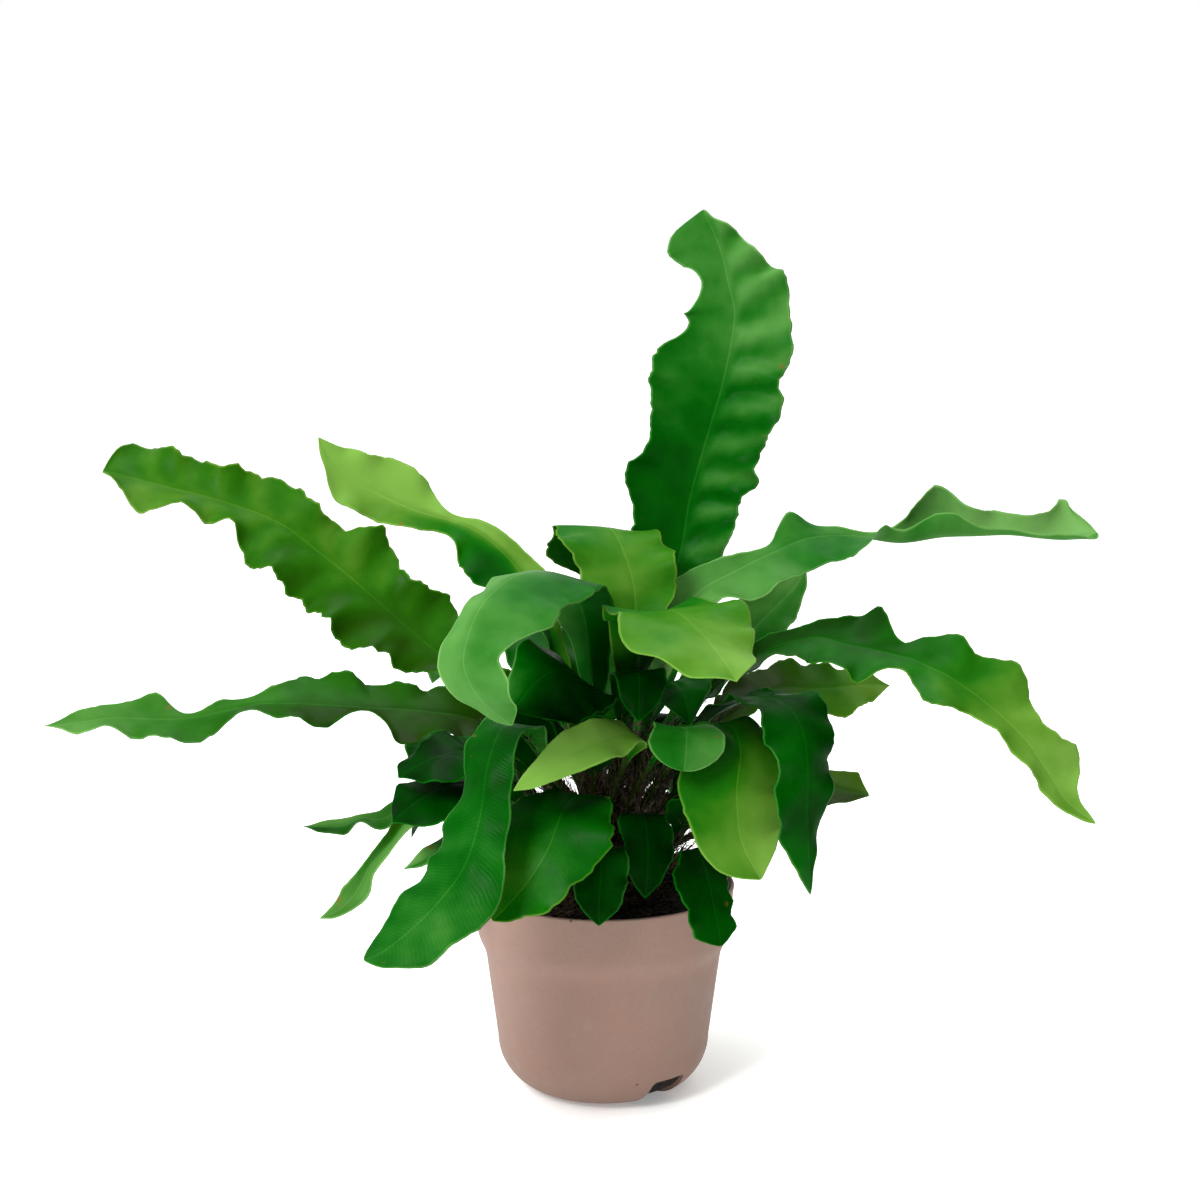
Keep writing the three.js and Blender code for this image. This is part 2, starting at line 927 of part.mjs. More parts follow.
    ripple: [1.5, 1.5, 22],
    step: 8,
    fine: 3,
    rows: [
      [-22, -24, 144, 0, 0, 0, 0],
      [-26, -31, 158, 10, 10, 0, 5],
      [-30, -37, 170, 12, 14, 0, 0],
      [-33, -43, 180, 10, 13, 0, -5],
      [-32, -47, 187, 2, 2, 0, 0],
    ],
  },
  {
    name: "frond_fill_middle",
    tone: "deep",
    foot: [11, 250],
    heading: 265,
    ripple: [1.5, 1.5, 22],
    step: 8,
    fine: 3,
    rows: [
      [-4, -23, 148, 0, 0, 0, 0],
      [-5, -31, 160, 10, 11, 0, 5],
      [-5, -37, 170, 11, 11, 0, 0],
      [-6, -43, 179, 9, 9, 0, -5],
      [-9, -47, 184, 1, 2, 0, 0],
    ],
  },
  {
    name: "frond_center_back_left",
    tone: "deep",
    foot: [17, 120],
    heading: 120,
    ripple: [1.6, 1.6, 22],
    step: 8,
    fine: 3,
    rows: [
      [-9, 27, 138, 0, 0, 0, 0],
      [-15, 38, 152, 12, 12, 0, 8],
      [-22, 50, 160, 16, 16, 0, 0],
      [-29, 62, 157, 11, 11, 0, -5],
      [-33, 69, 149, 2, 2, 0, 0],
    ],
  },
];

const UP = new THREE.Vector3(0, 0, 1);
const radians = THREE.MathUtils.degToRad;

// A three.js geometry as a solid that can be joined and cut.
function solidOf(geometry) {
  return new wasm.Manifold(
    new wasm.Mesh({
      numProp: 3,
      vertProperties: new Float32Array(geometry.attributes.position.array),
      triVerts: new Uint32Array(geometry.index.array),
    }),
  );
}

// A solid as a three.js geometry.
function geometryOf(solid) {
  const mesh = solid.getMesh();
  const stride = mesh.numProp;
  const positions = new Float32Array(mesh.numVert * 3);
  for (let i = 0; i < mesh.numVert; i++)
    positions.set(mesh.vertProperties.subarray(i * stride, i * stride + 3), i * 3);
  return indexed(positions, mesh.triVerts);
}

function indexed(positions, index) {
  return new THREE.BufferGeometry()
    .setAttribute("position", new THREE.BufferAttribute(Float32Array.from(positions), 3))
    .setIndex(new THREE.BufferAttribute(Uint32Array.from(index), 1));
}

// The corners of a geometry's triangles, with equal corners made one and empty triangles left out.
function welded(geometry) {
  const places = new Map();
  const positions = [];
  const ids = Array.from(geometry.index.array, (i) => {
    const p = new THREE.Vector3().fromBufferAttribute(geometry.attributes.position, i);
    const key = p.toArray().map((q) => Math.round(q / WELD)).join();
    if (!places.has(key)) {
      places.set(key, positions.length / 3);
      positions.push(p.x, p.y, p.z);
    }
    return places.get(key);
  });
  const index = [];
  for (let i = 0; i < ids.length; i += 3) {
    const [a, b, c] = ids.slice(i, i + 3);
    if (a !== b && b !== c && c !== a) index.push(a, b, c);
  }
  return indexed(positions, index);
}

// Rings of points, each with as many points, joined into one closed body: side quads, then an end cap
// on the first ring and the last one.
function loft(rings) {
  const around = rings[0].length;
  const index = [];
  for (let i = 0; i + 1 < rings.length; i++)
    for (let j = 0; j < around; j++) {
      const a = i * around + j;
      const b = i * around + ((j + 1) % around);
      index.push(...sideQuad(a, b, b + around, a + around, j < around / 2));
    }
  const last = (rings.length - 1) * around;
  for (let j = 0; j + 1 < around / 2; j++) {
    const k = around - 1 - j;
    index.push(j, k, k - 1, j, k - 1, j + 1);
    index.push(last + j, last + k - 1, last + k, last + j, last + j + 1, last + k - 1);
  }
  return indexed(rings.flat().flatMap((p) => p.toArray()), index);
}

// The two triangles of a side quad; the upper and the lower face are split along the same diagonal.
function sideQuad(a, b, c, d, upper) {
  return upper ? [a, b, c, a, c, d] : [a, b, d, b, c, d];
}

// Distance along the midrib of every row.
function knotsOf(rows) {
  const knots = [0];
  for (let i = 1; i < rows.length; i++) {
    const [p, q] = [rows[i - 1], rows[i]];
    knots.push(knots[i - 1] + Math.hypot(q[0] - p[0], q[1] - p[1], q[2] - p[2]));
  }
  return knots;
}

// The slope of column k at row i.
function slopeOf(rows, knots, i, k) {
  const a = Math.max(i - 1, 0);
  const b = Math.min(i + 1, rows.length - 1);
  return (rows[b][k] - rows[a][k]) / (knots[b] - knots[a]);
}

// All columns at distance s, on a smooth curve through the rows.
function rowAt(curve, s) {
  const { rows, knots } = curve;
  let i = 0;
  while (i < rows.length - 2 && knots[i + 1] < s) i++;
  const span = knots[i + 1] - knots[i];
  const t = (s - knots[i]) / span;
  const [t2, t3] = [t * t, t * t * t];
  return rows[i].map(
    (value, k) =>
      (2 * t3 - 3 * t2 + 1) * value +
      (t3 - 2 * t2 + t) * span * slopeOf(rows, knots, i, k) +
      (3 * t2 - 2 * t3) * rows[i + 1][k] +
      (t3 - t2) * span * slopeOf(rows, knots, i + 1, k),
  );
}

// The height of the crown's dome at a distance from its axis.
function crownHeight(radius) {
  return CROWN_TOP - CROWN_FALL * radius * radius;
}

// Where a frond's stalk leaves the crown, and the way it points there.
function footOf(frond) {
  const [radius, azimuth] = frond.foot;
  const out = new THREE.Vector3(Math.cos(radians(azimuth)), Math.sin(radians(azimuth)), 0);
  const lean = radians(LEAN_INNER + LEAN_PER_MM * radius);
  const place = out.clone().multiplyScalar(radius).setZ(crownHeight(radius));
  const way = out.multiplyScalar(Math.sin(lean)).addScaledVector(UP, Math.cos(lean));
  return { place, way };
}

// A frond's whole midrib: its rows with the stalk put before them, the distances along them, where the
// stalk begins to open into the blade and where it is open.
function curveOf(frond, index) {
  const { place, way } = footOf(frond);
  const bottom = place.clone().addScaledVector(way, -HOLE_DEPTH);
  const above = place.clone().addScaledVector(way, STALK_RISE);
  const stalk = [bottom, place, above].map((p) => [...p.toArray(), 0, 0, 0, 0]);
  const rows = [...stalk, ...frond.rows];
  const knots = knotsOf(rows);
  const open = rows.findIndex((row) => row[LEFT] > 0);
  return { index, rows, knots, length: knots[knots.length - 1], opens: knots[open - 1], opened: knots[open] };
}

// The midrib's place and the directions of the blade at distance s.
function frameAt(frond, curve, s) {
  const row = rowAt(curve, s);
  const ahead = new THREE.Vector3(...rowAt(curve, s + DIRECTION_REACH));
  const behind = new THREE.Vector3(...rowAt(curve, s - DIRECTION_REACH));
  const along = ahead.sub(behind).normalize();
  const heading = radians(frond.heading);
  const side = new THREE.Vector3(-Math.sin(heading), Math.cos(heading), 0);
  side.addScaledVector(along, -side.dot(along)).normalize();
  const top = along.clone().cross(side);
  const hang = radians(row[HANG]);
  const left = side.multiplyScalar(Math.cos(hang)).addScaledVector(top, -Math.sin(hang));
  const normal = along.cross(left);
  return { place: new THREE.Vector3(...row), left, normal, row };
}

// A point of the blade's middle surface: v runs from -1 at the left margin to 1 at the right one.
function bladePoint(frond, curve, s, v) {
  const { place, left, normal, row } = frameAt(frond, curve, s);
  const reach = Math.abs(v);
  const side = v < 0 ? 0 : 1;
  const out = left.multiplyScalar(side ? -1 : 1);
  const [height, turn] = [frond.ripple[side], (2 * Math.PI * s) / frond.ripple[2]];
  const phase = PHASE_STEP * curve.index + PHASE_SIDE * side;
  const outline = 1 + OUTLINE_WAVE * Math.sin(turn / OUTLINE_RATIO + phase);
  const width = Math.max(row[side ? RIGHT : LEFT], LEAST_WIDTH) * outline;
  const fold = radians(row[FOLD]) || LEAST_FOLD;
  const inner = FOLD_INNER * fold;
  const outer = (FOLD_INNER + FOLD_OUTER * reach) * fold;
  const across = (Math.sin(outer) - Math.sin(inner)) / (FOLD_OUTER * fold);
  const raised = (Math.cos(inner) - Math.cos(outer)) / (FOLD_OUTER * fold);
  const swing = Math.sin(turn + phase + DRIFT * Math.sin(turn / DRIFT_RATIO + phase));
  const ripple = height * Math.min(width / RIPPLE_WIDTH, 1) * reach ** RIPPLE_POWER * swing;
  return place
    .addScaledVector(out, width * across - ripple * Math.sin(outer))
    .addScaledVector(normal, width * raised + ripple * Math.cos(outer));
}

// The blade's true normal at a point.
function bladeNormal(frond, curve, s, v) {
  const e = NORMAL_REACH;
  const along = bladePoint(frond, curve, s + e, v).sub(bladePoint(frond, curve, s - e, v));
  const across = bladePoint(frond, curve, s, v - e).sub(bladePoint(frond, curve, s, v + e));
  return along.cross(across).normalize();
}

// One ring of points round the frond: over the upper face from left to right, back under the lower.
// The round stalk and the flat blade are blended where the frond opens.
function ringAt(frond, curve, s) {
  const { place, left, normal } = frameAt(frond, curve, s);
  const open = THREE.MathUtils.smoothstep(s, curve.opens, curve.opened);
  const count = frond.fine;
  const rib = RIB * (1 - s / curve.length);
  const ring = [];
  for (let j = 0; j < 2 * count; j++) {
    const upper = j < count;
    const v = -1 + (2 * (upper ? j : 2 * count - 1 - j)) / (count - 1);
    const angle = Math.PI - ((j + 0.5) * Math.PI) / count;
    const round = place
      .clone()
      .addScaledVector(left, -STALK_RADIUS * Math.cos(angle))
      .addScaledVector(normal, STALK_RADIUS * Math.sin(angle));
    const offset = upper ? LEAF_HALF : -LEAF_HALF - (v === 0 ? rib : 0);
    const surface = bladeNormal(frond, curve, s, v);
    const flat = bladePoint(frond, curve, s, v).addScaledVector(surface, offset);
    ring.push(round.lerp(flat, open));
  }
  return ring;
}

// Evenly spaced distances from start up to end, which is left out, at most step apart.
function evenly(start, end, step) {
  const count = Math.max(Math.ceil((end - start) / step), 1);
  return Array.from({ length: count }, (_, i) => start + ((end - start) * i) / count);
}

// One frond: stalk, midrib and blade in one body.
function frondGeometry(frond, index) {
  const curve = curveOf(frond, index);
  const stalk = evenly(curve.knots[1], curve.opens, STALK_STEP);
  const blade = evenly(curve.opens, curve.length, frond.step);
  const places = [0, ...stalk, ...blade, curve.length];
  return loft(places.map((s) => ringAt(frond, curve, s)));
}

// A solid of revolution from an outline of [radius, height] points, which starts and ends on the axis.
function turned(outline, sides) {
  const points = outline.map(([r, z]) => new THREE.Vector2(r, z));
  const lathe = new THREE.LatheGeometry(points, sides);
  lathe.rotateX(Math.PI / 2);
  return solidOf(welded(lathe));
}

// The pot's outside, moved inwards by an inset, from the middle of a floor up to the collar's foot.
function potOutline(inset, floor) {
  const centre = FOOT_RADIUS - FOOT_CURVE;
  const curve = FOOT_CURVE - inset;
  const start = Math.acos(Math.min(1, (FOOT_CURVE - floor) / curve));
  const outline = [[0, floor]];
  for (let i = 0; i <= FOOT_STEPS; i++) {
    const a = THREE.MathUtils.lerp(start, Math.PI / 2, i / FOOT_STEPS);
    outline.push([centre + curve * Math.sin(a), FOOT_CURVE - curve * Math.cos(a)]);
  }
  const collarBottom = POT_HEIGHT - COLLAR_DEPTH;
  outline.push([WALL_RADIUS - inset, collarBottom - STEP_HEIGHT]);
  outline.push([COLLAR_RADIUS - inset, collarBottom]);
  return outline;
}

// The blocks that cut all the notches, grown by a margin.
function notchBlocks(margin) {
  const blocks = [];
  for (let i = 0; i < NOTCHES; i++) {
    const box = new THREE.BoxGeometry(RIM_RADIUS, NOTCH_WIDTH + 2 * margin, 2 * (NOTCH_HEIGHT + margin));
    box.translate(NOTCH_REACH - margin + RIM_RADIUS / 2, 0, 0);
    box.rotateZ(radians(NOTCH_AZIMUTH + (360 / NOTCHES) * i));
    blocks.push(solidOf(welded(box)));
  }
  return blocks.reduce((a, b) => a.add(b));
}

function potSolid() {
  const top = POT_HEIGHT;
  const rim = [[RIM_RADIUS, top - RIM_BEVEL], [RIM_RADIUS - RIM_BEVEL, top], [0, top]];
  const mouth = [[RIM_RADIUS - WALL, top + WALL], [0, top + WALL]];
  const outside = turned([...potOutline(0, 0), ...rim], POT_SIDES);
  const inside = turned([...potOutline(WALL, FLOOR), ...mouth], POT_SIDES);
  return outside.subtract(inside.subtract(notchBlocks(HOOD))).subtract(notchBlocks(0));
}

// The peat: it fills the pot round the notches' hoods and the foot of the crown.
function soilSolid() {
  const gap = WALL + FIT;
  const edge = THREE.MathUtils.lerp(COLLAR_RADIUS, RIM_RADIUS, SOIL_EDGE) - gap;
  const outline = [...potOutline(gap, FLOOR + FIT), [edge, SOIL_TOP]];
  for (const share of SOIL_RINGS)
    outline.push([edge * share, SOIL_TOP + SOIL_SWELL * (1 - share * share)]);
  outline.push([0, SOIL_TOP + SOIL_SWELL]);
  const peat = turned(outline, SOIL_SIDES);
  return peat.subtract(notchBlocks(HOOD + FIT)).subtract(crownSolid(FIT));
}

// The crown, grown by a margin all round.
function crownSolid(margin) {
  const bottom = SOIL_TOP - CROWN_SINK - margin;
  const outline = [[0, bottom], [CROWN_RADIUS - CROWN_TAPER + margin, bottom]];
  for (const share of CROWN_RINGS) {
    const radius = share * CROWN_RADIUS;
    outline.push([radius + margin, crownHeight(radius) + margin]);
  }
  outline.push([0, CROWN_TOP + margin]);
  return turned(outline, CROWN_SIDES);
}

// The plain hole in the crown for a frond's stalk.
function stalkHole(frond) {
  const { place, way } = footOf(frond);
  const radius = (STALK_RADIUS + FIT) / Math.cos(Math.PI / HOLE_SIDES);
  const below = HOLE_DEPTH + FIT;
  const length = below + HOLE_ABOVE;
  const tube = new THREE.CylinderGeometry(radius, radius, length, HOLE_SIDES);
  tube.translate(0, length / 2 - below, 0);
  tube.applyQuaternion(new THREE.Quaternion().setFromUnitVectors(new THREE.Vector3(0, 1, 0), way));
  tube.translate(place.x, place.y, place.z);
  return solidOf(welded(tube));
}

function crownWithHoles() {
  return FRONDS.map(stalkHole).reduce((crown, hole) => crown.subtract(hole), crownSolid(0));
}

function mesh(name, geometry, color, roughness) {
  const material = new THREE.MeshStandardMaterial({ color, roughness, metalness: 0 });
  const made = new THREE.Mesh(geometry, material);
  made.name = name;
  return made;
}

const fern = new THREE.Group();
fern.add(mesh("pot", geometryOf(potSolid()), POT_COLOR, 0.6));
fern.add(mesh("soil", geometryOf(soilSolid()), SOIL_COLOR, 0.95));
fern.add(mesh("crown", geometryOf(crownWithHoles()), CROWN_COLOR, 0.9));
FRONDS.forEach((frond, index) => {
  fern.add(mesh(frond.name, frondGeometry(frond, index), TONES[frond.tone], 0.4));
});

export default fern;
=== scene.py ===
from collections import namedtuple
from math import acos, cos, hypot, pi, sin, sqrt

import bpy
import mathutils
import numpy as np
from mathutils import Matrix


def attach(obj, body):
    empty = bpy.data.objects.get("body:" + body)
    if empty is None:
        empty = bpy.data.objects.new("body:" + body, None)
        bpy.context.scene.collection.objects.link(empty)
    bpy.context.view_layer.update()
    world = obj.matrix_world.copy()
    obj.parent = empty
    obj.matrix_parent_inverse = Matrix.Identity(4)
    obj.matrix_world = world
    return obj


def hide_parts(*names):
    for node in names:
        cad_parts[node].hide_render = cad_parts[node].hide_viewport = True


# A harts tongue fern in its nursery pot: finer fronds, crown, peat and pot in place of the plain
# solids. Lengths are in millimetres up to the making of a mesh, which is in metres. +Z is up, the
# front faces -Y.
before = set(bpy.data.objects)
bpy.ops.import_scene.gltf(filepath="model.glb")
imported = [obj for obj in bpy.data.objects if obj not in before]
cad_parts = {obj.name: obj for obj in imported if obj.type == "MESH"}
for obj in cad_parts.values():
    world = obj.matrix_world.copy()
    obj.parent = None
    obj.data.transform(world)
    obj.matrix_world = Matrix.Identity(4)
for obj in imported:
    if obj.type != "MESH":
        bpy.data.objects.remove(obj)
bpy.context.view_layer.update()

MM = 0.001
SEED = 11
FULL_TURN = 2 * pi

# The pot: a deep collar above a tapering wall with a round foot.
POT_HEIGHT = 95
RIM_RADIUS = 59.5
RIM_ROUND = 0.75
COLLAR_DEPTH = 24
COLLAR_RADIUS = 57
WALL_RADIUS = 53.8
STEP_HEIGHT = 5
WALL = 1.6
FLOOR = 3
FOOT_CURVE = 24
FOOT_RADIUS = 48.2
POT_SIDES = 180
ARC_STEPS = 24
ROUND_STEPS = 6

# How far the pot's step is softened, with how many samples, the spacing of the wall's rings, and
# the angle from which an edge stays sharp.
STEP_SOFT = 5
STEP_SAMPLES = 9
STEP_SPREAD = 1.2
WALL_STEP = 1.5
POT_CREASE = 35

# The drain notches in the foot, each under a hood inside the pot.
NOTCHES = 2
NOTCH_AZIMUTH = -49
NOTCH_WIDTH = 19
NOTCH_HEIGHT = 14
NOTCH_REACH = 14
NOTCH_ROUND = 2.5
HOOD = 1.6

# The peat and the crown that stands up out of it.
FIT = 0.3
SOIL_TOP = 88
SOIL_SWELL = 3
SOIL_EDGE = 0.7
CROWN_TOP = 138
CROWN_FALL = 0.062
CROWN_RADIUS = 27
CROWN_SINK = 7

# The stalks. A stalk leans more, the further out on the crown it stands.
STALK_RADIUS = 1.5
HOLE_DEPTH = 7
STALK_RISE = 5
LEAN_INNER = 4
LEAN_PER_MM = 2.7

# The blades: the midrib's height, the shares of the fold at the midrib and added by the margin, and
# the margin's waves.
RIB = 0.9
FOLD_INNER = 0.4
FOLD_OUTER = 1.2
LEAST_FOLD = 1e-4
LEAST_WIDTH = 0.5
RIPPLE_POWER = 1.8
RIPPLE_WIDTH = 14
DRIFT = 0.8
DRIFT_RATIO = 2.7
PHASE_STEP = 2.4
PHASE_SIDE = 4.08
OUTLINE_WAVE = 0.07
OUTLINE_RATIO = 1.63
DIRECTION_REACH = 0.5
NORMAL_REACH = 0.02

# What the fine blades add: sections this far apart, this many points across each side, a thin
# margin, a soft midrib with a groove above it and a rounded tip. Ragged fronds have crinkles that
# grow to the margin, as (wave length, height), and nibbles, as (wave length, share of the width).
SECTION_STEP = 1.8
SIDE_POINTS = 15
LEAF_HALF = 0.32
MARGIN_BEVEL = 0.9
RIB_SPREAD = 1.3
GROOVE = 0.25
TIP_LENGTH = 7
TIP_TURN = 86
TIP_STEPS = 7
CRINKLES = [(17, 0.8), (9.3, 0.5), (4.7, 0.16)]
CRINKLE_POWER = 3.2
NIBBLES = [(21, 0.05), (9.7, 0.045), (4.6, 0.028)]

# What the blades' material reads: the midrib's half width at the stalk and at the tip, how far the
# veins slant, the shares of the length that the tones are given at, and how far the tones of both
# halves blend.
RIB_HALF = 0.6
RIB_HALF_TIP = 0.3
VEIN_SLANT = 0.42
TONE_SHARES = (0.1, 0.5, 0.9)
TONE_BLEND = 0.45

# The scales of stalks and crown, with the least and the most of what is drawn at random. Below the
# upper one of the shag's heights the stalks' scales grow longer and wider.
SCALES_PER_MM = 3.2
SCALE_THINNING = 1.5
SCALE_SINK = 0.25
SCALE_SPREAD = (0.1, 0.9)
SCALE_LENGTH = (1.2, 3.2)
SCALE_WIDTH = (0.3, 0.6)
SHAG_HEIGHTS = (138, 195)
SHAG_LENGTH = 2.0
SHAG_WIDTH = 0.5
CROWN_SCALES = 3400
CROWN_SHAG = 0.75
CROWN_TWIST = 0.1
CROWN_SCALE_LENGTH = (2.5, 6.5)
CROWN_SCALE_WIDTH = (0.35, 0.8)

# The form of one scale.
FLAKE_BEND_AT = 0.55
FLAKE_BEND_SIZE = 0.8
FLAKE_LIFT = 0.12
FLAKE_TIP_LIFT = 0.05
FLAKE_THICK = 0.3
FLAKE_FACES = [(2, 1, 0), (0, 1, 4, 3), (3, 4, 6), (1, 2, 5, 4), (4, 5, 6), (2, 0, 3, 5), (5, 3, 6)]

# The crown's dome: its rings and sides, the wave lengths of its lumps and their heights.
DOME_RINGS = 46
DOME_SIDES = 120
CROWN_LUMP = 11
CROWN_FIBRE = 2.7
CROWN_ROUGH = 0.9
CROWN_FINE = 0.35
LUMP_WAVES = 14
LUMP_PACE = (0.7, 1.5)

# The peat's relief: the wave lengths and the share of its lumps, which grow calm at the wall.
SOIL_ROUGH = 1.0
SOIL_RINGS = 60
SOIL_SIDES = 240
SOIL_LUMPS = (9, 3.1)
SOIL_LUMP_SHARE = 0.5
SOIL_CALM = 0.4
SOIL_CALM_BAND = (-0.5, 3)

# The peat's crumbs: uneven cubes, with the least and the most of what is drawn at random.
CRUMBS = 3200
CRUMB_PLACE = (0.1, 0.98)
CRUMB_LEAST = 0.35
CRUMB_MOST = 2.1
CRUMB_POWER = 3
CRUMB_RISE = (-0.3, 0.3)
CRUMB_UNEVEN = 0.25
CRUMB_CORNER = (0.6, 1)
CRUMB_DEPTH = (0.6, 1)
CRUMB_FLATNESS = (0.5, 0.9)
CRUMB_CREASE = 40
CUBE = np.array([(x, y, z) for x in (-0.6, 0.6) for y in (-0.6, 0.6) for z in (-0.6, 0.6)])
CUBE_FACES = [(0, 1, 3, 2), (4, 6, 7, 5), (0, 4, 5, 1), (2, 3, 7, 6), (0, 2, 6, 4), (1, 5, 7, 3)]

# The strands on the peat: where they start and end, their steps, how they bend, rise and wave.
FIBRES = 110
FIBRE_SIDES = 4
FIBRE_START = (23, 54)
FIBRE_LIMIT = 55
FIBRE_SPAN = 56
FIBRE_STEPS = 14
FIBRE_LEAST_STEPS = 3
FIBRE_STEP = 1.3
FIBRE_THICK = (0.12, 0.3)
FIBRE_BEND = 0.35
FIBRE_WANDER = 0.25
FIBRE_LIFT = 0.7
FIBRE_WAVE = 0.5
FIBRE_BEAT = 0.9
FIBRE_PHASE = 20

# The studio. The camera looks towards +Y and down by its pitch. Metres and watts.
CAMERA_PLACE = (-0.0015, -1.100, 0.415)
CAMERA_PITCH = 9.8
CAMERA_LENS = 75.09
CAMERA_SENSOR = 36
CAMERA_CLIP = (0.01, 50)
WORLD_LIGHT = 1.0
LIGHT_TARGET = (0, 0, 0.2)
FLOOR_HALF = 12
FLOOR_GLOW = 0.25

# The lights, as (name, place, size, power).
LIGHTS = [
    ("key", (-0.95, -1.3, 1.5), 0.8, 48),
    ("fill", (1.5, -1.3, 0.7), 1.4, 1),
    ("top", (0.2, 0.5, 1.7), 1.0, 16),
]

# How the sky's light changes, as (axis, where it starts, where it ends, what is added).
SKY_CHANGES = [("X", 0.3, 0.9, -0.9), ("Y", -0.2, -0.8, -0.45), ("Z", 0.4, 0.9, 0.45)]

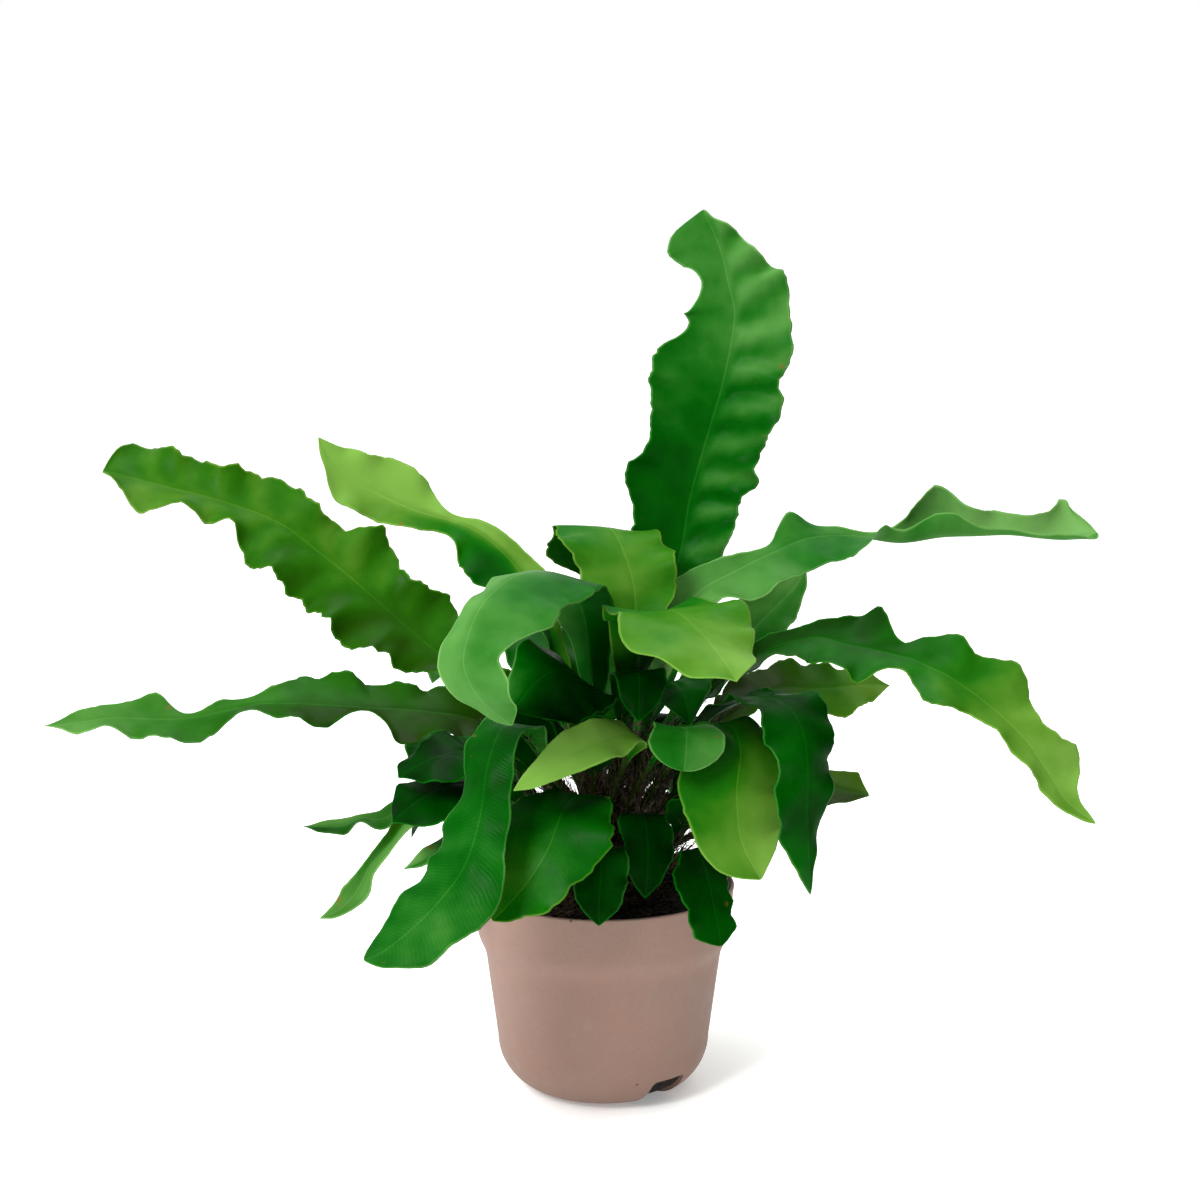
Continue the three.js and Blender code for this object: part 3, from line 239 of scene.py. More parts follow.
# The fronds. A line with a name starts one: its name and slot; its foot on the crown, as distance
# from the axis and azimuth, and the azimuth that it heads for; the height of the waves in the left
# and in the right margin and their length; the tones of the left half near the stalk, midway and
# near the tip, and those of the right half; then, where they aren't the usual ones, how olive and
# how ragged it is, how much its veins show and how quilted its left and its right half are. The
# tones hold painted shade and painted sheen besides the blade's own lightness: halves and fronds
# that lie in shade have low tones, halves that catch a sheen high ones. How quilted a half is sets
# its waves' bumps and their painted shade. The points of the frond's midrib follow: x, y, z, the
# width to the left and to the right, how far the left side hangs and how far both sides fold up, in
# degrees. Zeros that end a point are left out.
FROND_TABLE = """
tall deep  6.5 75 84  1.1 2.6 18  .3 .32 .59  .66 .41 .71  0 .35 .12 .2 1.2
10 12 160, 24 29 205 13 12 0 10, 36 42 242 22 20 0 14, 40 45 265 30 25 0 14, 49 45 298 27 28 0 12
54 46 315 36 29 0 12, 59 48 339 23 27 0 8, 60 51 351 22 27 -4 6, 57 54 364 13 24 -8 4
55 58 374 18 16 -8, 51 61 385 22 9 -5, 48 62 391 20 3 -3, 46 63 396 7 2
big_left olive  6.5 190 172  4.5 4 31  .14 .42 .62  .2 .58 .46  .42 .8 .09 .5 .55
-25 4 157, -47 10 177 8 12 25 10, -69 15 193 10 17 40 10, -88 19 208 23 24 46 8
-102 22 220 28 19 48 8, -115 25 231 25 27 48 6, -129 27 242 28 17 48 6, -147 30 255 27 20 44 8
-174 33 265 15 18 38 16, -203 36 272 18 20 36 14, -219 38 276 13 20 25 14, -229 39 278 8 24 18 12
light_left fresh  6.5 133 150  2 2 24  .35 .3 .96  .4 .95 1.05  0 .3 .05 .06 .1
-13 18 152, -19 34 184 6 6 0 5, -30 46 216 10 10 10 10, -44 54 235 22 9 40 10, -59 60 247 17 6 44 10
-73 64 252 8 4 45 10, -88 67 256 11 15 50 10, -103 70 262 13 18 60 8, -118 72 270 12 16 60 8
-128 73 279 5 9 50 8, -134 74 290 1 1 40
curled green  6.5 250 241  1.5 1.5 30  .12 .4 .7  .3 .8 .78  0 .15 .03 .15 .12
-3 -10 158, -5 -14 196 8 8 0 10, -9 -28 226 16 18, -20 -52 245 24 23 0 -10, -35 -78 249 31 12 0 -15
-48 -100 242 31 10 0 -15, -54 -112 231 21 12 0 -10, -56 -118 219 18 11, -51 -118 207 19 11
-44 -115 199 14 8, -37 -112 193 3 3
arch_back green  6.5 312 97  2 2 22  .4 .66 .35  .35 .6 .66  0 .5 .12 .12 .2
7 -5 162, 13 -7 206 11 9 0 10, 14 -3 229 20 18 0 10, 9 7 246 26 21 -4 5, 3 22 254 26 20 -8 -5
-4 38 250 23 16 -4 -15, -7 52 237 16 13 0 -20, -9 60 225 1 1
right_long green  6.5 12 14  3 2.5 30  .8 .6 1.05  1 .45 .66  0 .3 .07 .12 .2
16 3 157, 28 8 196 8 8 -20 5, 40 14 223 14 14 -32 8, 64 25 236 8 22 -34 8, 78 30 242 6 21 -34 6
92 35 247 15 20 -34 6, 104 40 248 9 24 -26 6, 119 44 247 4 17 -12 24, 138 48 244 9 8 0 65
158 52 246 28 14 0 66, 173 55 246 16 7 0 62, 190 58 246 11 4 -4 56, 205 61 244 14 4 -10 50
217 63 243 21 6 -12 44, 227 65 244 23 13 -15 30, 232 66 246 17 10 -15 26
right_back_lobe deep  11 42 38  2 2 24  .3 .45 .87  .3 .4 .61  0 .4 .1 .2 .2
21 18 152, 42 36 178 8 8 -20 5, 63 56 194 14 14 -35 5, 78 68 206 15 12 -40 5, 91 76 218 11 7 -40 5
97 80 226 1 1 -35
yellow_front fresh  11 300 300  2 2 26  .15 .45 .9  .5 .42 .74  0 .1 .05 .05 .05
9 -16 160, 14 -24 199 9 9 0 10, 18 -42 223 18 18 0 10, 29 -74 233 28 28 0 4, 40 -100 228 27 30 0 -8
49 -116 219 14 18 0 -10, 53 -122 213 2 2
right_droop green  11 350 347  1.6 2.2 26  .08 .24 .97  .08 .4 .88  .1 .5 .1 .35 .25
23 -6 158, 48 -14 186 9 13 -10 10, 71 -22 206 9 18 -20 15, 92 -27 213 9 20 -30 12
106 -34 211 19 18 -32 8, 114 -37 210 25 21 -32 8, 121 -40 209 13 20 -34 8, 127 -43 208 8 13 -34 8
133 -46 207 15 9 -33 5, 140 -49 204 23 15 -32 5, 147 -52 201 21 22 -32 5, 162 -57 191 26 12 -34 5
178 -64 177 13 10 -36 5, 188 -68 163 21 10 -38 5, 196 -71 151 7 6 -40 5, 208 -74 142 1 2 -40
olive_back olive  17 18 22  2 2 22  .1 .08 .63  .1 .25 .7  .6 .6 .14 .25 .25
34 18 144, 62 46 166 13 12 -10 5, 84 70 170 16 16 -30 5, 107 84 167 16 16 -38, 126 92 167 12 12 -36
140 97 166 1 1 -30
dark_right deep  17 322 312  2 2 24  .12 .16 .26  .12 .24 .36  0 .5 .21 .4 .3
28 -22 150, 46 -43 181 7 8 0 10, 63 -62 194 14 12 0 5, 75 -79 195 19 16, 82 -91 186 20 18 0 -8
84 -97 170 17 17 0 -8, 84 -98 152 12 16 0 -6, 85 -97 132 4 9 0 -5, 86 -95 117 1 1
front_right green  17 302 288  1.8 1.8 24  .14 .5 .95  .08 .18 .72  .1 .3 .1 .12 .1
24 -34 150, 41 -54 177 10 12 0 8, 52 -69 184 13 10, 57 -82 177 18 15 0 -8, 55 -94 160 20 24 0 -8
57 -99 141 21 18 0 -6, 65 -100 125 4 3
stub_right olive  23 350 352  1.5 1.5 20  .3 .45 .74  .25 .3 .08  .9 .5 .1 .1 .1
42 -8 128, 73 -20 147 8 9 -10 10, 95 -30 148 11 21 -20 10, 108 -36 146 11 18 -22 15
116 -38 145 3 5 -15 15
veined_left green  17 238 238  2 2 26  .55 .28 .5  .52 .34 .45  0 .2 .7 .3 .35
-18 -30 145, -33 -54 177 10 10 0 8, -42 -74 184 12 12, -48 -90 171 12 13 0 -8
-51 -100 151 13 16 0 -10, -57 -108 133 20 20 0 -10, -67 -114 120 22 20 0 -8, -78 -120 110 21 15 0 -5
-89 -124 102 15 12, -97 -127 99 4 4
bright_front fresh  23 255 255  1.6 1.6 20  .12 .3 .5  .12 .34 .56  0 .8 .14 .12 .12
-8 -36 122, -10 -58 150 12 13 0 5, -17 -80 149 22 25 0 -5, -23 -92 136 22 26 0 -6
-31 -98 124 16 22 0 -4, -39 -101 115 9 13, -46 -102 108 3 4
front_small green  23 270 268  1.2 1.2 20  .3 .3 .22  .08 .08 .13  0 .8 .14 .1 .1
1 -40 115, 0 -58 127 9 9, -1 -68 118 12 12 0 -8, -2 -75 106 9 9 0 -5, -2 -77 98 2 2
front_mid deep  23 290 283  1.2 1.2 20  .17 .08 .1  .2 .25 .08  0 .8 .14 .1 .1
13 -34 122, 17 -44 138 10 10, 19 -51 130 12 12 0 -8, 19 -55 116 9 9 0 -5, 18 -56 104 2 2
rim_right deep  23 308 305  1.6 1.6 20  .08 .08 .27  .08 .08 .3  0 .95 .14 .15 .15
28 -35 114, 40 -50 124 9 8, 44 -62 117 12 14 0 -6, 47 -72 105 10 15 0 -6, 49 -76 95 9 12 0 -5
50 -77 89 4 5
long_left green  11 190 190  2.6 2.6 28  .08 .14 .71  .08 .44 .64  .3 .6 .09 .2 .25
-30 -4 154, -56 -14 173 16 14 26 10, -77 -23 179 19 15 30 8, -94 -26 181 21 16 28 5
-103 -29 182 3 17 26 5, -127 -35 185 17 22 25 5, -148 -39 186 7 7 20 5, -162 -42 184 9 8 20 5
-179 -45 181 19 4 24 5, -193 -47 181 17 13 25 5, -211 -49 182 9 12 24 5, -227 -50 180 7 7 20 5
-240 -51 179 1 1 15
dark_left deep  17 208 207  2 2 22  .25 .3 .08  .2 .19 .08
-30 -19 138, -46 -38 160 11 11 10 8, -60 -52 168 16 16 20, -72 -60 167 16 14 20 -5
-82 -64 163 11 10 15 -5, -87 -67 160 2 2 10
dark_left_low deep  23 216 216  2 2 22  .15 .2 .14  .15 .2 .08
-32 -24 122, -47 -41 147 10 10 10 5, -64 -54 154 19 16 15 -5, -77 -61 150 19 16 15 -8
-86 -65 144 11 10 10 -5, -90 -67 140 1 1 5
ribbon_left green  23 198 200  1.5 1.5 22  .4 .84 .67  .3 .13 .73  .3 .4 .12 .25 .25
-42 -14 122, -66 -26 136 5 5 10 5, -84 -34 134 5 6 30 5, -93 -38 124 5 5 20 5, -102 -41 114 4 4 40 5
-108 -44 103 6 6 40 5, -115 -46 96 5 5 30 5, -124 -47 92 1 1 20
ribbon_back green  23 176 170  1.5 1.5 18  .45 .65 .33  .4 .48 .81  .2 .4 .12 .25 .25
-44 4 122, -70 10 134 4 4 15 5, -90 16 127 6 6 20 5, -102 20 119 7 6 40 5, -112 22 119 4 3 20 5
-120 24 115 7 5 30 5, -129 25 114 5 4 25 5, -139 26 114 1 1 10
sliver_left green  23 236 226  1.5 1.5 20  .3 .45 .6  .3 .45 .94
-26 -34 120, -50 -46 134 6 6 10, -69 -54 127 5 5 10, -79 -58 121 4 4 10, -86 -60 118 1 1
shade_left deep  11 226 235  2 1.5 24  .14 .23 .08  .2 .08 .46
-5 -17 165, -6 -28 187 14 12 10 5, -12 -38 199 24 18 28, -20 -48 203 29 20 36 -5
-29 -57 199 25 14 38 -6, -38 -64 189 9 6 34
yellow_center fresh  17 266 228  1.5 1.5 24  .35 .9 1  .7 1 1.05  0 .2 .05 .05 .05
7 -32 152, 13 -54 176 8 8 20 5, 1 -74 179 11 11 35 5, -13 -88 176 10 9 38 5, -26 -96 169 6 6 35 5
-37 -101 163 1 1 30
cupped_center green  17 286 280  1.4 1.4 22  .22 .5 .66  .2 .42 .45  0 .3 .1 .05 .05
16 -38 152, 28 -64 176 6 5 0 10, 34 -84 186 12 14 0 5, 34 -97 182 15 16, 33 -104 172 10 10 0 -10
shade_right deep  11 326 318  1.6 1.6 24  .19 .35 .42  .16 .25 .27
17 -11 160, 23 -20 182 11 9 0 8, 29 -32 194 17 15, 33 -43 194 16 17 0 -5, 36 -50 187 8 14 0 -8
37 -54 180 3 4 0 -5
back_right green  11 68 68  3 3 26  .52 .76 .52  .28 .42 .52
12 24 142, 23 48 178 15 13 0 8, 36 80 196 18 18 0 6, 48 110 200 18 18, 58 138 190 16 16 0 -5
66 160 172 9 9 0 -5, 69 171 158 1 1
back_middle green  17 92 92  3 3 26  .24 .4 .5  .24 .4 .5  .1 .4 .12 .25 .25
-1 25 138, -2 44 176 15 15 0 8, -2 76 206 18 18 0 6, -3 106 210 19 19, -2 138 200 16 16 0 -5
0 165 180 10 10 0 -5, 1 180 163 1 1
back_left green  11 108 116  3 3 26  .3 .45 .56  .3 .45 .56
-10 24 142, -22 47 176 13 15 0 8, -42 78 194 17 17 0 6, -58 108 197 17 17, -73 134 187 15 15 0 -5
-83 154 168 9 9 0 -5, -88 164 153 1 1
back_low_left deep  17 150 140  2 2 22  .16 .24 .32  .16 .24 .32
-30 24 138, -48 42 152 12 12 0 5, -68 60 155 15 15, -83 75 147 13 13 0 -5, -90 84 133 8 8 0 -5
-93 89 121 1 1
back_low_right deep  17 44 38  2 2 22  .14 .22 .3  .14 .22 .3
31 29 142, 50 45 151 12 12 0 5, 72 61 152 15 15, 90 75 144 12 12 0 -5, 102 85 132 7 7 0 -5
107 89 122 1 1
back_skirt_right green  23 68 66  2 2 22  .22 .34 .44  .08 .08 .44
15 40 120, 23 56 138 16 14 0 5, 32 77 138 18 18, 39 94 124 15 15 0 -5, 43 106 105 8 8 0 -5
44 112 90 1 1
back_skirt_middle deep  23 95 94  2 2 22  .16 .26 .34  .16 .26 .34
-3 42 122, -4 60 144 16 16 0 5, -6 82 148 18 18, -7 100 136 15 15 0 -5, -8 113 117 8 8 0 -5
-8 119 100 1 1
back_skirt_left green  23 122 124  2 2 22  .24 .36 .46  .24 .36 .46
-22 38 120, -33 53 138 14 16 0 5, -46 72 138 17 18, -56 87 125 14 14 0 -5, -62 98 108 7 7 0 -5
-65 103 95 1 1
low_right deep  23 20 18  2 2 22  .1 .14 .2  .1 .14 .2
40 13 113, 56 18 124 9 12 0 5, 73 23 125 10 14, 87 28 117 8 11 0 -5, 95 31 106 5 6 0 -5
98 32 99 1 1
low_left deep  23 155 158  2 2 22  .1 .14 .2  .1 .14 .2
-42 20 117, -58 26 128 10 10 0 5, -73 32 128 12 12, -83 36 119 9 9 0 -5, -88 38 110 4 4 0 -5
-90 39 105 1 1
shade_middle deep  11 272 272  1.6 1.6 24  .09 .18 .12  .08 .29 .15
7 -20 160, 9 -30 186 6 6 0 8, 13 -41 200 12 10 0 4, 15 -53 201 12 11, 15 -61 193 9 8 0 -5
15 -65 184 2 2 0 -5
inner_right deep  23 330 290  1.6 1.6 22  .08 .08 .12  .08 .08 .12
30 -21 120, 37 -31 134 11 12 0 5, 42 -40 143 14 13, 46 -48 147 12 11 0 -5, 50 -54 144 6 6 0 -8
52 -57 139 1 1
inner_left deep  17 174 180  1.6 1.6 22  .29 .42 .12  .3 .44 .12
-27 0 130, -37 -4 141 10 10 50 5, -50 -7 143 12 12 68, -60 -8 138 9 9 68 -5, -66 -9 132 1 1 60
inner_middle deep  17 358 2  1.6 1.6 22  .08 .12 .12  .17 .24 .12
28 -1 132, 39 1 143 12 10 -50, 52 2 148 13 12 -55, 62 3 149 10 9 -55, 68 3 148 2 2 -50
inner_back deep  23 44 42  1.6 1.6 22  .08 .1 .12  .08 .1 .12
26 24 110, 34 33 121 14 9 0 5, 43 43 121 16 10, 51 50 111 12 8 0 -5, 55 54 99 2 2
center_back deep  17 68 60  1.6 1.6 22  .08 .1 .12  .08 .1 .12
14 26 138, 22 38 154 12 12 0 8, 31 50 161 16 15, 40 63 157 11 11 0 -5, 44 69 149 2 2
fill_left deep  17 223 262  1.5 1.5 22  .08 .1 .14  .08 .08 .14  0 .4 .1 .25 .25
-22 -24 144, -26 -31 158 10 10 0 5, -30 -37 170 12 14, -33 -43 180 10 13 0 -5, -32 -47 187 2 2
fill_middle deep  11 250 265  1.5 1.5 22  .08 .08 .1  .08 .08 .1  0 .4 .1 .25 .25
-4 -23 148, -5 -31 160 10 11 0 5, -5 -37 170 11 11, -6 -43 179 9 9 0 -5, -9 -47 184 1 2
center_back_left deep  17 120 120  1.6 1.6 22  .08 .1 .12  .08 .1 .12  0 .4 .1 .25 .25
-9 27 138, -15 38 152 12 12 0 8, -22 50 160 16 16, -29 62 157 11 11 0 -5, -33 69 149 2 2
"""

# How olive, ragged, veined and quilted a frond is whose line doesn't say it.
USUAL = [0, 0.4, 0.12, 0.25, 0.25]
GIVEN = 12

# The columns of a point after its x, y and z: the width to the left with that to the right after
# it, the hang and the fold.
LEFT, HANG, FOLD = 3, 5, 6
COLUMNS = 7

Frond = namedtuple("Frond", "name slot foot heading ripple tones olive ragged veined quilted rows")

radians = np.radians


def read_fronds():
    """The fronds in the order of their table."""
    fronds = []
    for line in FROND_TABLE.strip().splitlines():
        if line[0].isalpha():
            name, slot, *words = line.split()
            n = [float(word) for word in words]
            n += USUAL[len(n) - GIVEN :]
            given = n[:2], n[2], n[3:6], (n[6:9], n[9:12]), *n[12:15], n[15:]
            fronds.append(Frond("frond_" + name, "frond_" + slot, *given, []))
            continue
        for point in line.split(","):
            row = [float(word) for word in point.split()]
            fronds[-1].rows.append(row + [0] * (COLUMNS - len(row)))
    return fronds


def smoothstep(x, low, high):
    t = np.clip((x - low) / (high - low), 0, 1)
    return t * t * (3 - 2 * t)


def unit(vectors):
    return vectors / np.linalg.norm(vectors, axis=-1, keepdims=True)


def level(angles):
    """The level unit vectors at the angles."""
    return np.stack([np.cos(angles), np.sin(angles), 0 * angles], axis=-1)


def spun(points, angle):
    """Points turned about the Z axis."""
    c, s = cos(angle), sin(angle)
    x, y, z = points.T
    return np.stack([x * c - y * s, x * s + y * c, z], axis=1)


# ---- meshes


def mesh_object(name, points, faces, materials, smooth=True):
    """A mesh object from points in millimetres."""
    mesh = bpy.data.meshes.new(name)
    mesh.from_pydata((np.asarray(points, float) * MM).tolist(), [], faces)
    for material in materials:
        mesh.materials.append(material)
    if smooth:
        mesh.shade_smooth()
    mesh.validate()
    made = bpy.data.objects.new(name, mesh)
    bpy.context.scene.collection.objects.link(made)
    return made


def dress(piece, slot_name, *nodes):
    """Puts a piece in the fern: its body and the CAD nodes it stands for, which it hides. The slot
    name is not used.
    """
    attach(piece, "root")
    if nodes:
        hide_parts(*nodes)


def shifted(faces, start):
    """Faces whose points start at a later index."""
    return [tuple(start + i for i in face) for face in faces]


def ring_faces(rings, around):
    """Quads between rings that each have `around` points."""
    faces = []
    for i in range(rings - 1):
        for j in range(around):
            a = i * around + j
            b = i * around + (j + 1) % around
            faces.append((a, b, b + around, a + around))
    return faces


def tube_faces(rings, around):
    """The faces of a tube of rings, closed by a cap at each end."""
    last = (rings - 1) * around
    caps = [tuple(range(around))[::-1], tuple(range(last, last + around))]
    return ring_faces(rings, around) + caps


def turned(outline, sides):
    """A solid of revolution: its outline of (radius, height) starts and ends at the axis."""
    ways = level(np.arange(sides) / sides * FULL_TURN)
    points = [[0, 0, outline[0][1]], [0, 0, outline[-1][1]]]
    for radius, height in outline[1:-1]:
        points += [[radius * x, radius * y, height] for x, y, _ in ways]
    rings = len(outline) - 2
    faces = shifted(ring_faces(rings, sides), 2)
    last = 2 + (rings - 1) * sides
    for j in range(sides):
        after = (j + 1) % sides
        faces += [(0, 2 + after, 2 + j), (1, last + j, last + after)]
    return np.array(points, float), faces


# ---- fronds


def crown_height(radius):
    return CROWN_TOP - CROWN_FALL * radius * radius


def foot_of(frond):
    """Where a frond's stalk leaves the crown, and the way it points there."""
    radius, azimuth = frond.foot
    out = level(radians(azimuth))
    lean = radians(LEAN_INNER + LEAN_PER_MM * radius)
    place = out * radius + [0, 0, crown_height(radius)]
    return place, out * sin(lean) + np.array([0, 0, cos(lean)])


class Curve:
    """A frond's whole midrib, with its stalk: a smooth curve through its rows."""

    def __init__(self, frond, index):
        place, way = foot_of(frond)
        stalk = [place - HOLE_DEPTH * way, place, place + STALK_RISE * way]
        self.rows = np.array([[*p, 0, 0, 0, 0] for p in stalk] + frond.rows, float)
        steps = np.linalg.norm(np.diff(self.rows[:, :3], axis=0), axis=1)
        self.knots = np.concatenate([[0], np.cumsum(steps)])
        self.frond, self.index, self.length = frond, index, self.knots[-1]
        opened = int(np.argmax(self.rows[:, LEFT] > 0))
        self.opens, self.opened = self.knots[opened - 1], self.knots[opened]
        order = np.arange(len(self.rows))
        low, high = np.maximum(order - 1, 0), np.minimum(order + 1, len(order) - 1)
        rise = self.rows[high] - self.rows[low]
        self.slopes = rise / (self.knots[high] - self.knots[low])[:, None]

    def at(self, s):
        """All columns at the distances s."""
        i = np.searchsorted(self.knots[1:-1], s)
        span = (self.knots[i + 1] - self.knots[i])[:, None]
        t = (s - self.knots[i])[:, None] / span
        t2, t3 = t * t, t * t * t
        return (
            (2 * t3 - 3 * t2 + 1) * self.rows[i]
            + (t3 - 2 * t2 + t) * span * self.slopes[i]
            + (3 * t2 - 2 * t3) * self.rows[i + 1]
            + (t3 - t2) * span * self.slopes[i + 1]
        )

    def frames(self, s):
        """The midrib's places, the ways to the left and along the normal, and all columns."""
        rows = self.at(s)
        along = unit((self.at(s + DIRECTION_REACH) - self.at(s - DIRECTION_REACH))[:, :3])
        heading = radians(self.frond.heading)
        side = np.array([-sin(heading), cos(heading), 0])
        side = unit(side - (along @ side)[:, None] * along)
        top = np.cross(along, side)
        hang = radians(rows[:, HANG])[:, None]
        left = side * np.cos(hang) - top * np.sin(hang)
        return rows[:, :3], left, np.cross(along, left), rows

    def sections(self):
        """Distances of the sections: evenly spaced, then closer together round the tip's curve."""
        body = self.length - TIP_LENGTH
        even = np.linspace(0, body, int(body / SECTION_STEP))
        turns = np.linspace(0, radians(TIP_TURN), TIP_STEPS + 1)[1:]
        return np.concatenate([even, body + TIP_LENGTH * np.sin(turns)])

    def beat(self, s, side):
        """How far the waves of one margin have turned at the distances s, and their phase."""
        phase = PHASE_STEP * self.index + PHASE_SIDE * side
        return FULL_TURN * s / self.frond.ripple[2], phase

    def swing(self, s, side):
        turn, phase = self.beat(s, side)
        return np.sin(turn + phase + DRIFT * np.sin(turn / DRIFT_RATIO + phase))

    def width(self, rows, s, side):
        """The width of one side, with its outline's waves, its nibbles and the tip's curve."""
        turn, phase = self.beat(s, side)
        outline = 1 + OUTLINE_WAVE * np.sin(turn / OUTLINE_RATIO + phase)
        for length, share in NIBBLES:
            turns = FULL_TURN * s / length + phase * length
            bite = np.sin(turns + np.sin(turns / DRIFT_RATIO))
            outline = outline + self.frond.ragged * share * bite
        into_tip = np.clip((s - self.length + TIP_LENGTH) / TIP_LENGTH, 0, 1)
        return np.maximum(rows[:, LEFT + side], LEAST_WIDTH) * outline * np.sqrt(1 - into_tip**2)

    def crinkle(self, s, side):
        """Small waves of the margin, in no regular beat."""
        total = np.zeros_like(s)
        for length, height in CRINKLES:
            phase = PHASE_STEP * self.index * length + PHASE_SIDE * side
            drift = np.sin(FULL_TURN * s / (length * DRIFT_RATIO) + phase)
            total += height * np.sin(FULL_TURN * s / length + phase + drift)
        return total * self.frond.ragged

    def blade(self, s, v):
        """Points of the middle surface: v runs from -1 at the left margin to 1 at the right one."""
        place, left, normal, rows = self.frames(s)
        reach = np.abs(v)[None, :]
        points = np.zeros((len(s), len(v), 3))
        for side in (0, 1):
            chosen = v >= 0 if side else v < 0
            out = -left if side else left
            width = self.width(rows, s, side)[:, None]
            fold = radians(rows[:, FOLD])[:, None]
            fold = np.where(np.abs(fold) < LEAST_FOLD, LEAST_FOLD, fold)
            inner, outer = FOLD_INNER * fold, (FOLD_INNER + FOLD_OUTER * reach) * fold
            across = (np.sin(outer) - np.sin(inner)) / (FOLD_OUTER * fold)
            raised = (np.cos(inner) - np.cos(outer)) / (FOLD_OUTER * fold)
            wave = self.frond.ripple[side] * self.swing(s, side)[:, None] * reach**RIPPLE_POWER
            wave = wave + self.crinkle(s, side)[:, None] * reach**CRINKLE_POWER
            wave = np.minimum(width / RIPPLE_WIDTH, 1) * wave
            outwards = (width * across - wave * np.sin(outer))[..., None]
            upwards = (width * raised + wave * np.cos(outer))[..., None]
            found = place[:, None] + out[:, None] * outwards + normal[:, None] * upwards
            points[:, chosen] = found[:, chosen]
        return points

    def blade_normals(self, s, v):
        e = NORMAL_REACH
        along = self.blade(s + e, v) - self.blade(s - e, v)
        low, high = np.clip(v - e, -1, 1), np.clip(v + e, -1, 1)
        across = self.blade(s, low) - self.blade(s, high)
        return unit(np.cross(along, across))

    def tone(self, s, side):
        """How light one half of the blade is at the distances s: its own tone with painted shade
        and painted sheen.
        """
        share = (s - self.opens) / (self.length - self.opens)
        return np.interp(share, TONE_SHARES, self.frond.tones[side])[:, None]


def side_shares():
    """Shares of a side's width from the midrib to the margin, closer together at both."""
    t = np.linspace(0, 1, SIDE_POINTS + 1)
    return (t + smoothstep(t, 0, 1)) / 2


def frond_piece(curve, material):
    """One frond: stalk, midrib and blade in one closed body, with what its material reads."""
    frond, s, shares = curve.frond, curve.sections(), side_shares()
    v = np.concatenate([-shares[:0:-1], shares])
    around = np.concatenate([v, v[-2:0:-1]])
    under = np.concatenate([np.zeros(len(v)), np.ones(len(v) - 2)])
    under[[0, len(v) - 1]] = 0.5
    place, left, normal, rows = curve.frames(s)
    width = np.where(around < 0, *[curve.width(rows, s, side)[:, None] for side in (0, 1)])
    off_rib = np.abs(around) * width
    from_margin = width - off_rib

    bevel = np.clip(from_margin / MARGIN_BEVEL, 0, 1)
    half = LEAF_HALF * np.sqrt(bevel * (2 - bevel))
    ridge = np.exp(-((off_rib / RIB_SPREAD) ** 2))
    rib = RIB * (1 - s / curve.length)[:, None] * ridge
    offset = np.where(under > 0.5, -half - rib, half - GROOVE * ridge * bevel)
    offset[:, under == 0.5] = 0
    flat = curve.blade(s, around) + curve.blade_normals(s, around) * offset[..., None]

    turn = (pi * (1 - np.arange(len(around)) / (len(v) - 1)))[:, None]
    tube = STALK_RADIUS * (np.sin(turn) * normal[:, None] - np.cos(turn) * left[:, None])
    tube += place[:, None]
    opened = smoothstep(s, curve.opens, curve.opened)[:, None]
    points = tube + (flat - tube) * opened[..., None]
    faces = tube_faces(len(s), len(around))
    made = mesh_object(frond.name + "_leaf", points.reshape(-1, 3), faces, [material])

    rib_half = RIB_HALF + (RIB_HALF_TIP - RIB_HALF) * (s / curve.length)[:, None]
    # Each half's tone, painted shade and painted sheen included, blends into the other's across the
    # midrib.
    rightness = smoothstep(around, -TONE_BLEND, TONE_BLEND)
    attributes = {
        "tone": curve.tone(s, 0) * (1 - rightness) + curve.tone(s, 1) * rightness,
        "olive": frond.olive,
        "veined": frond.veined,
        "quilted": np.where(around < 0, *frond.quilted),
        "opened": opened,
        "rib": off_rib / rib_half,
        "margin": from_margin,
        "vein": s[:, None] - VEIN_SLANT * off_rib,
        "under": under,
    }
    for name, values in attributes.items():
        layer = made.data.attributes.new(name, "FLOAT", "POINT")
        spread = np.broadcast_to(values, off_rib.shape)
        layer.data.foreach_set("value", spread.astype(np.float32).ravel())
    dress(made, frond.slot, frond.name)


# ---- scales and crown


def flakes(roots, ways, ups, lengths, widths):
    """Many narrow scales: three-sided spikes that end in a point and bend a little."""
    across = unit(np.cross(ways, ups))
    lengths, widths = lengths[:, None], widths[:, None]
    corners = []
    for share, size in ((0, 1), (FLAKE_BEND_AT, FLAKE_BEND_SIZE)):
        middle = roots + ways * lengths * share + ups * lengths * FLAKE_LIFT * share
        half = across * widths * size / 2
        corners += [middle - half, middle + half, middle + ups * widths * size * FLAKE_THICK]
    corners.append(roots + ways * lengths + ups * lengths * FLAKE_TIP_LIFT)
    starts = range(0, len(corners) * len(roots), len(corners))
    faces = [face for start in starts for face in shifted(FLAKE_FACES, start)]
    return np.stack(corners, axis=1).reshape(-1, 3), faces


def lumps(points, length, seed):
    """Smooth pseudo-random heights from -1 to 1 at points, for lumps of about that length."""
    draw = np.random.default_rng(seed)
    ways = unit(draw.normal(size=(LUMP_WAVES, 3))) * draw.uniform(*LUMP_PACE, (LUMP_WAVES, 1))
    phases = draw.uniform(0, FULL_TURN, LUMP_WAVES)
    waves = np.sin(FULL_TURN * points @ ways.T / length + phases)
    return waves.sum(axis=-1) / sqrt(LUMP_WAVES)


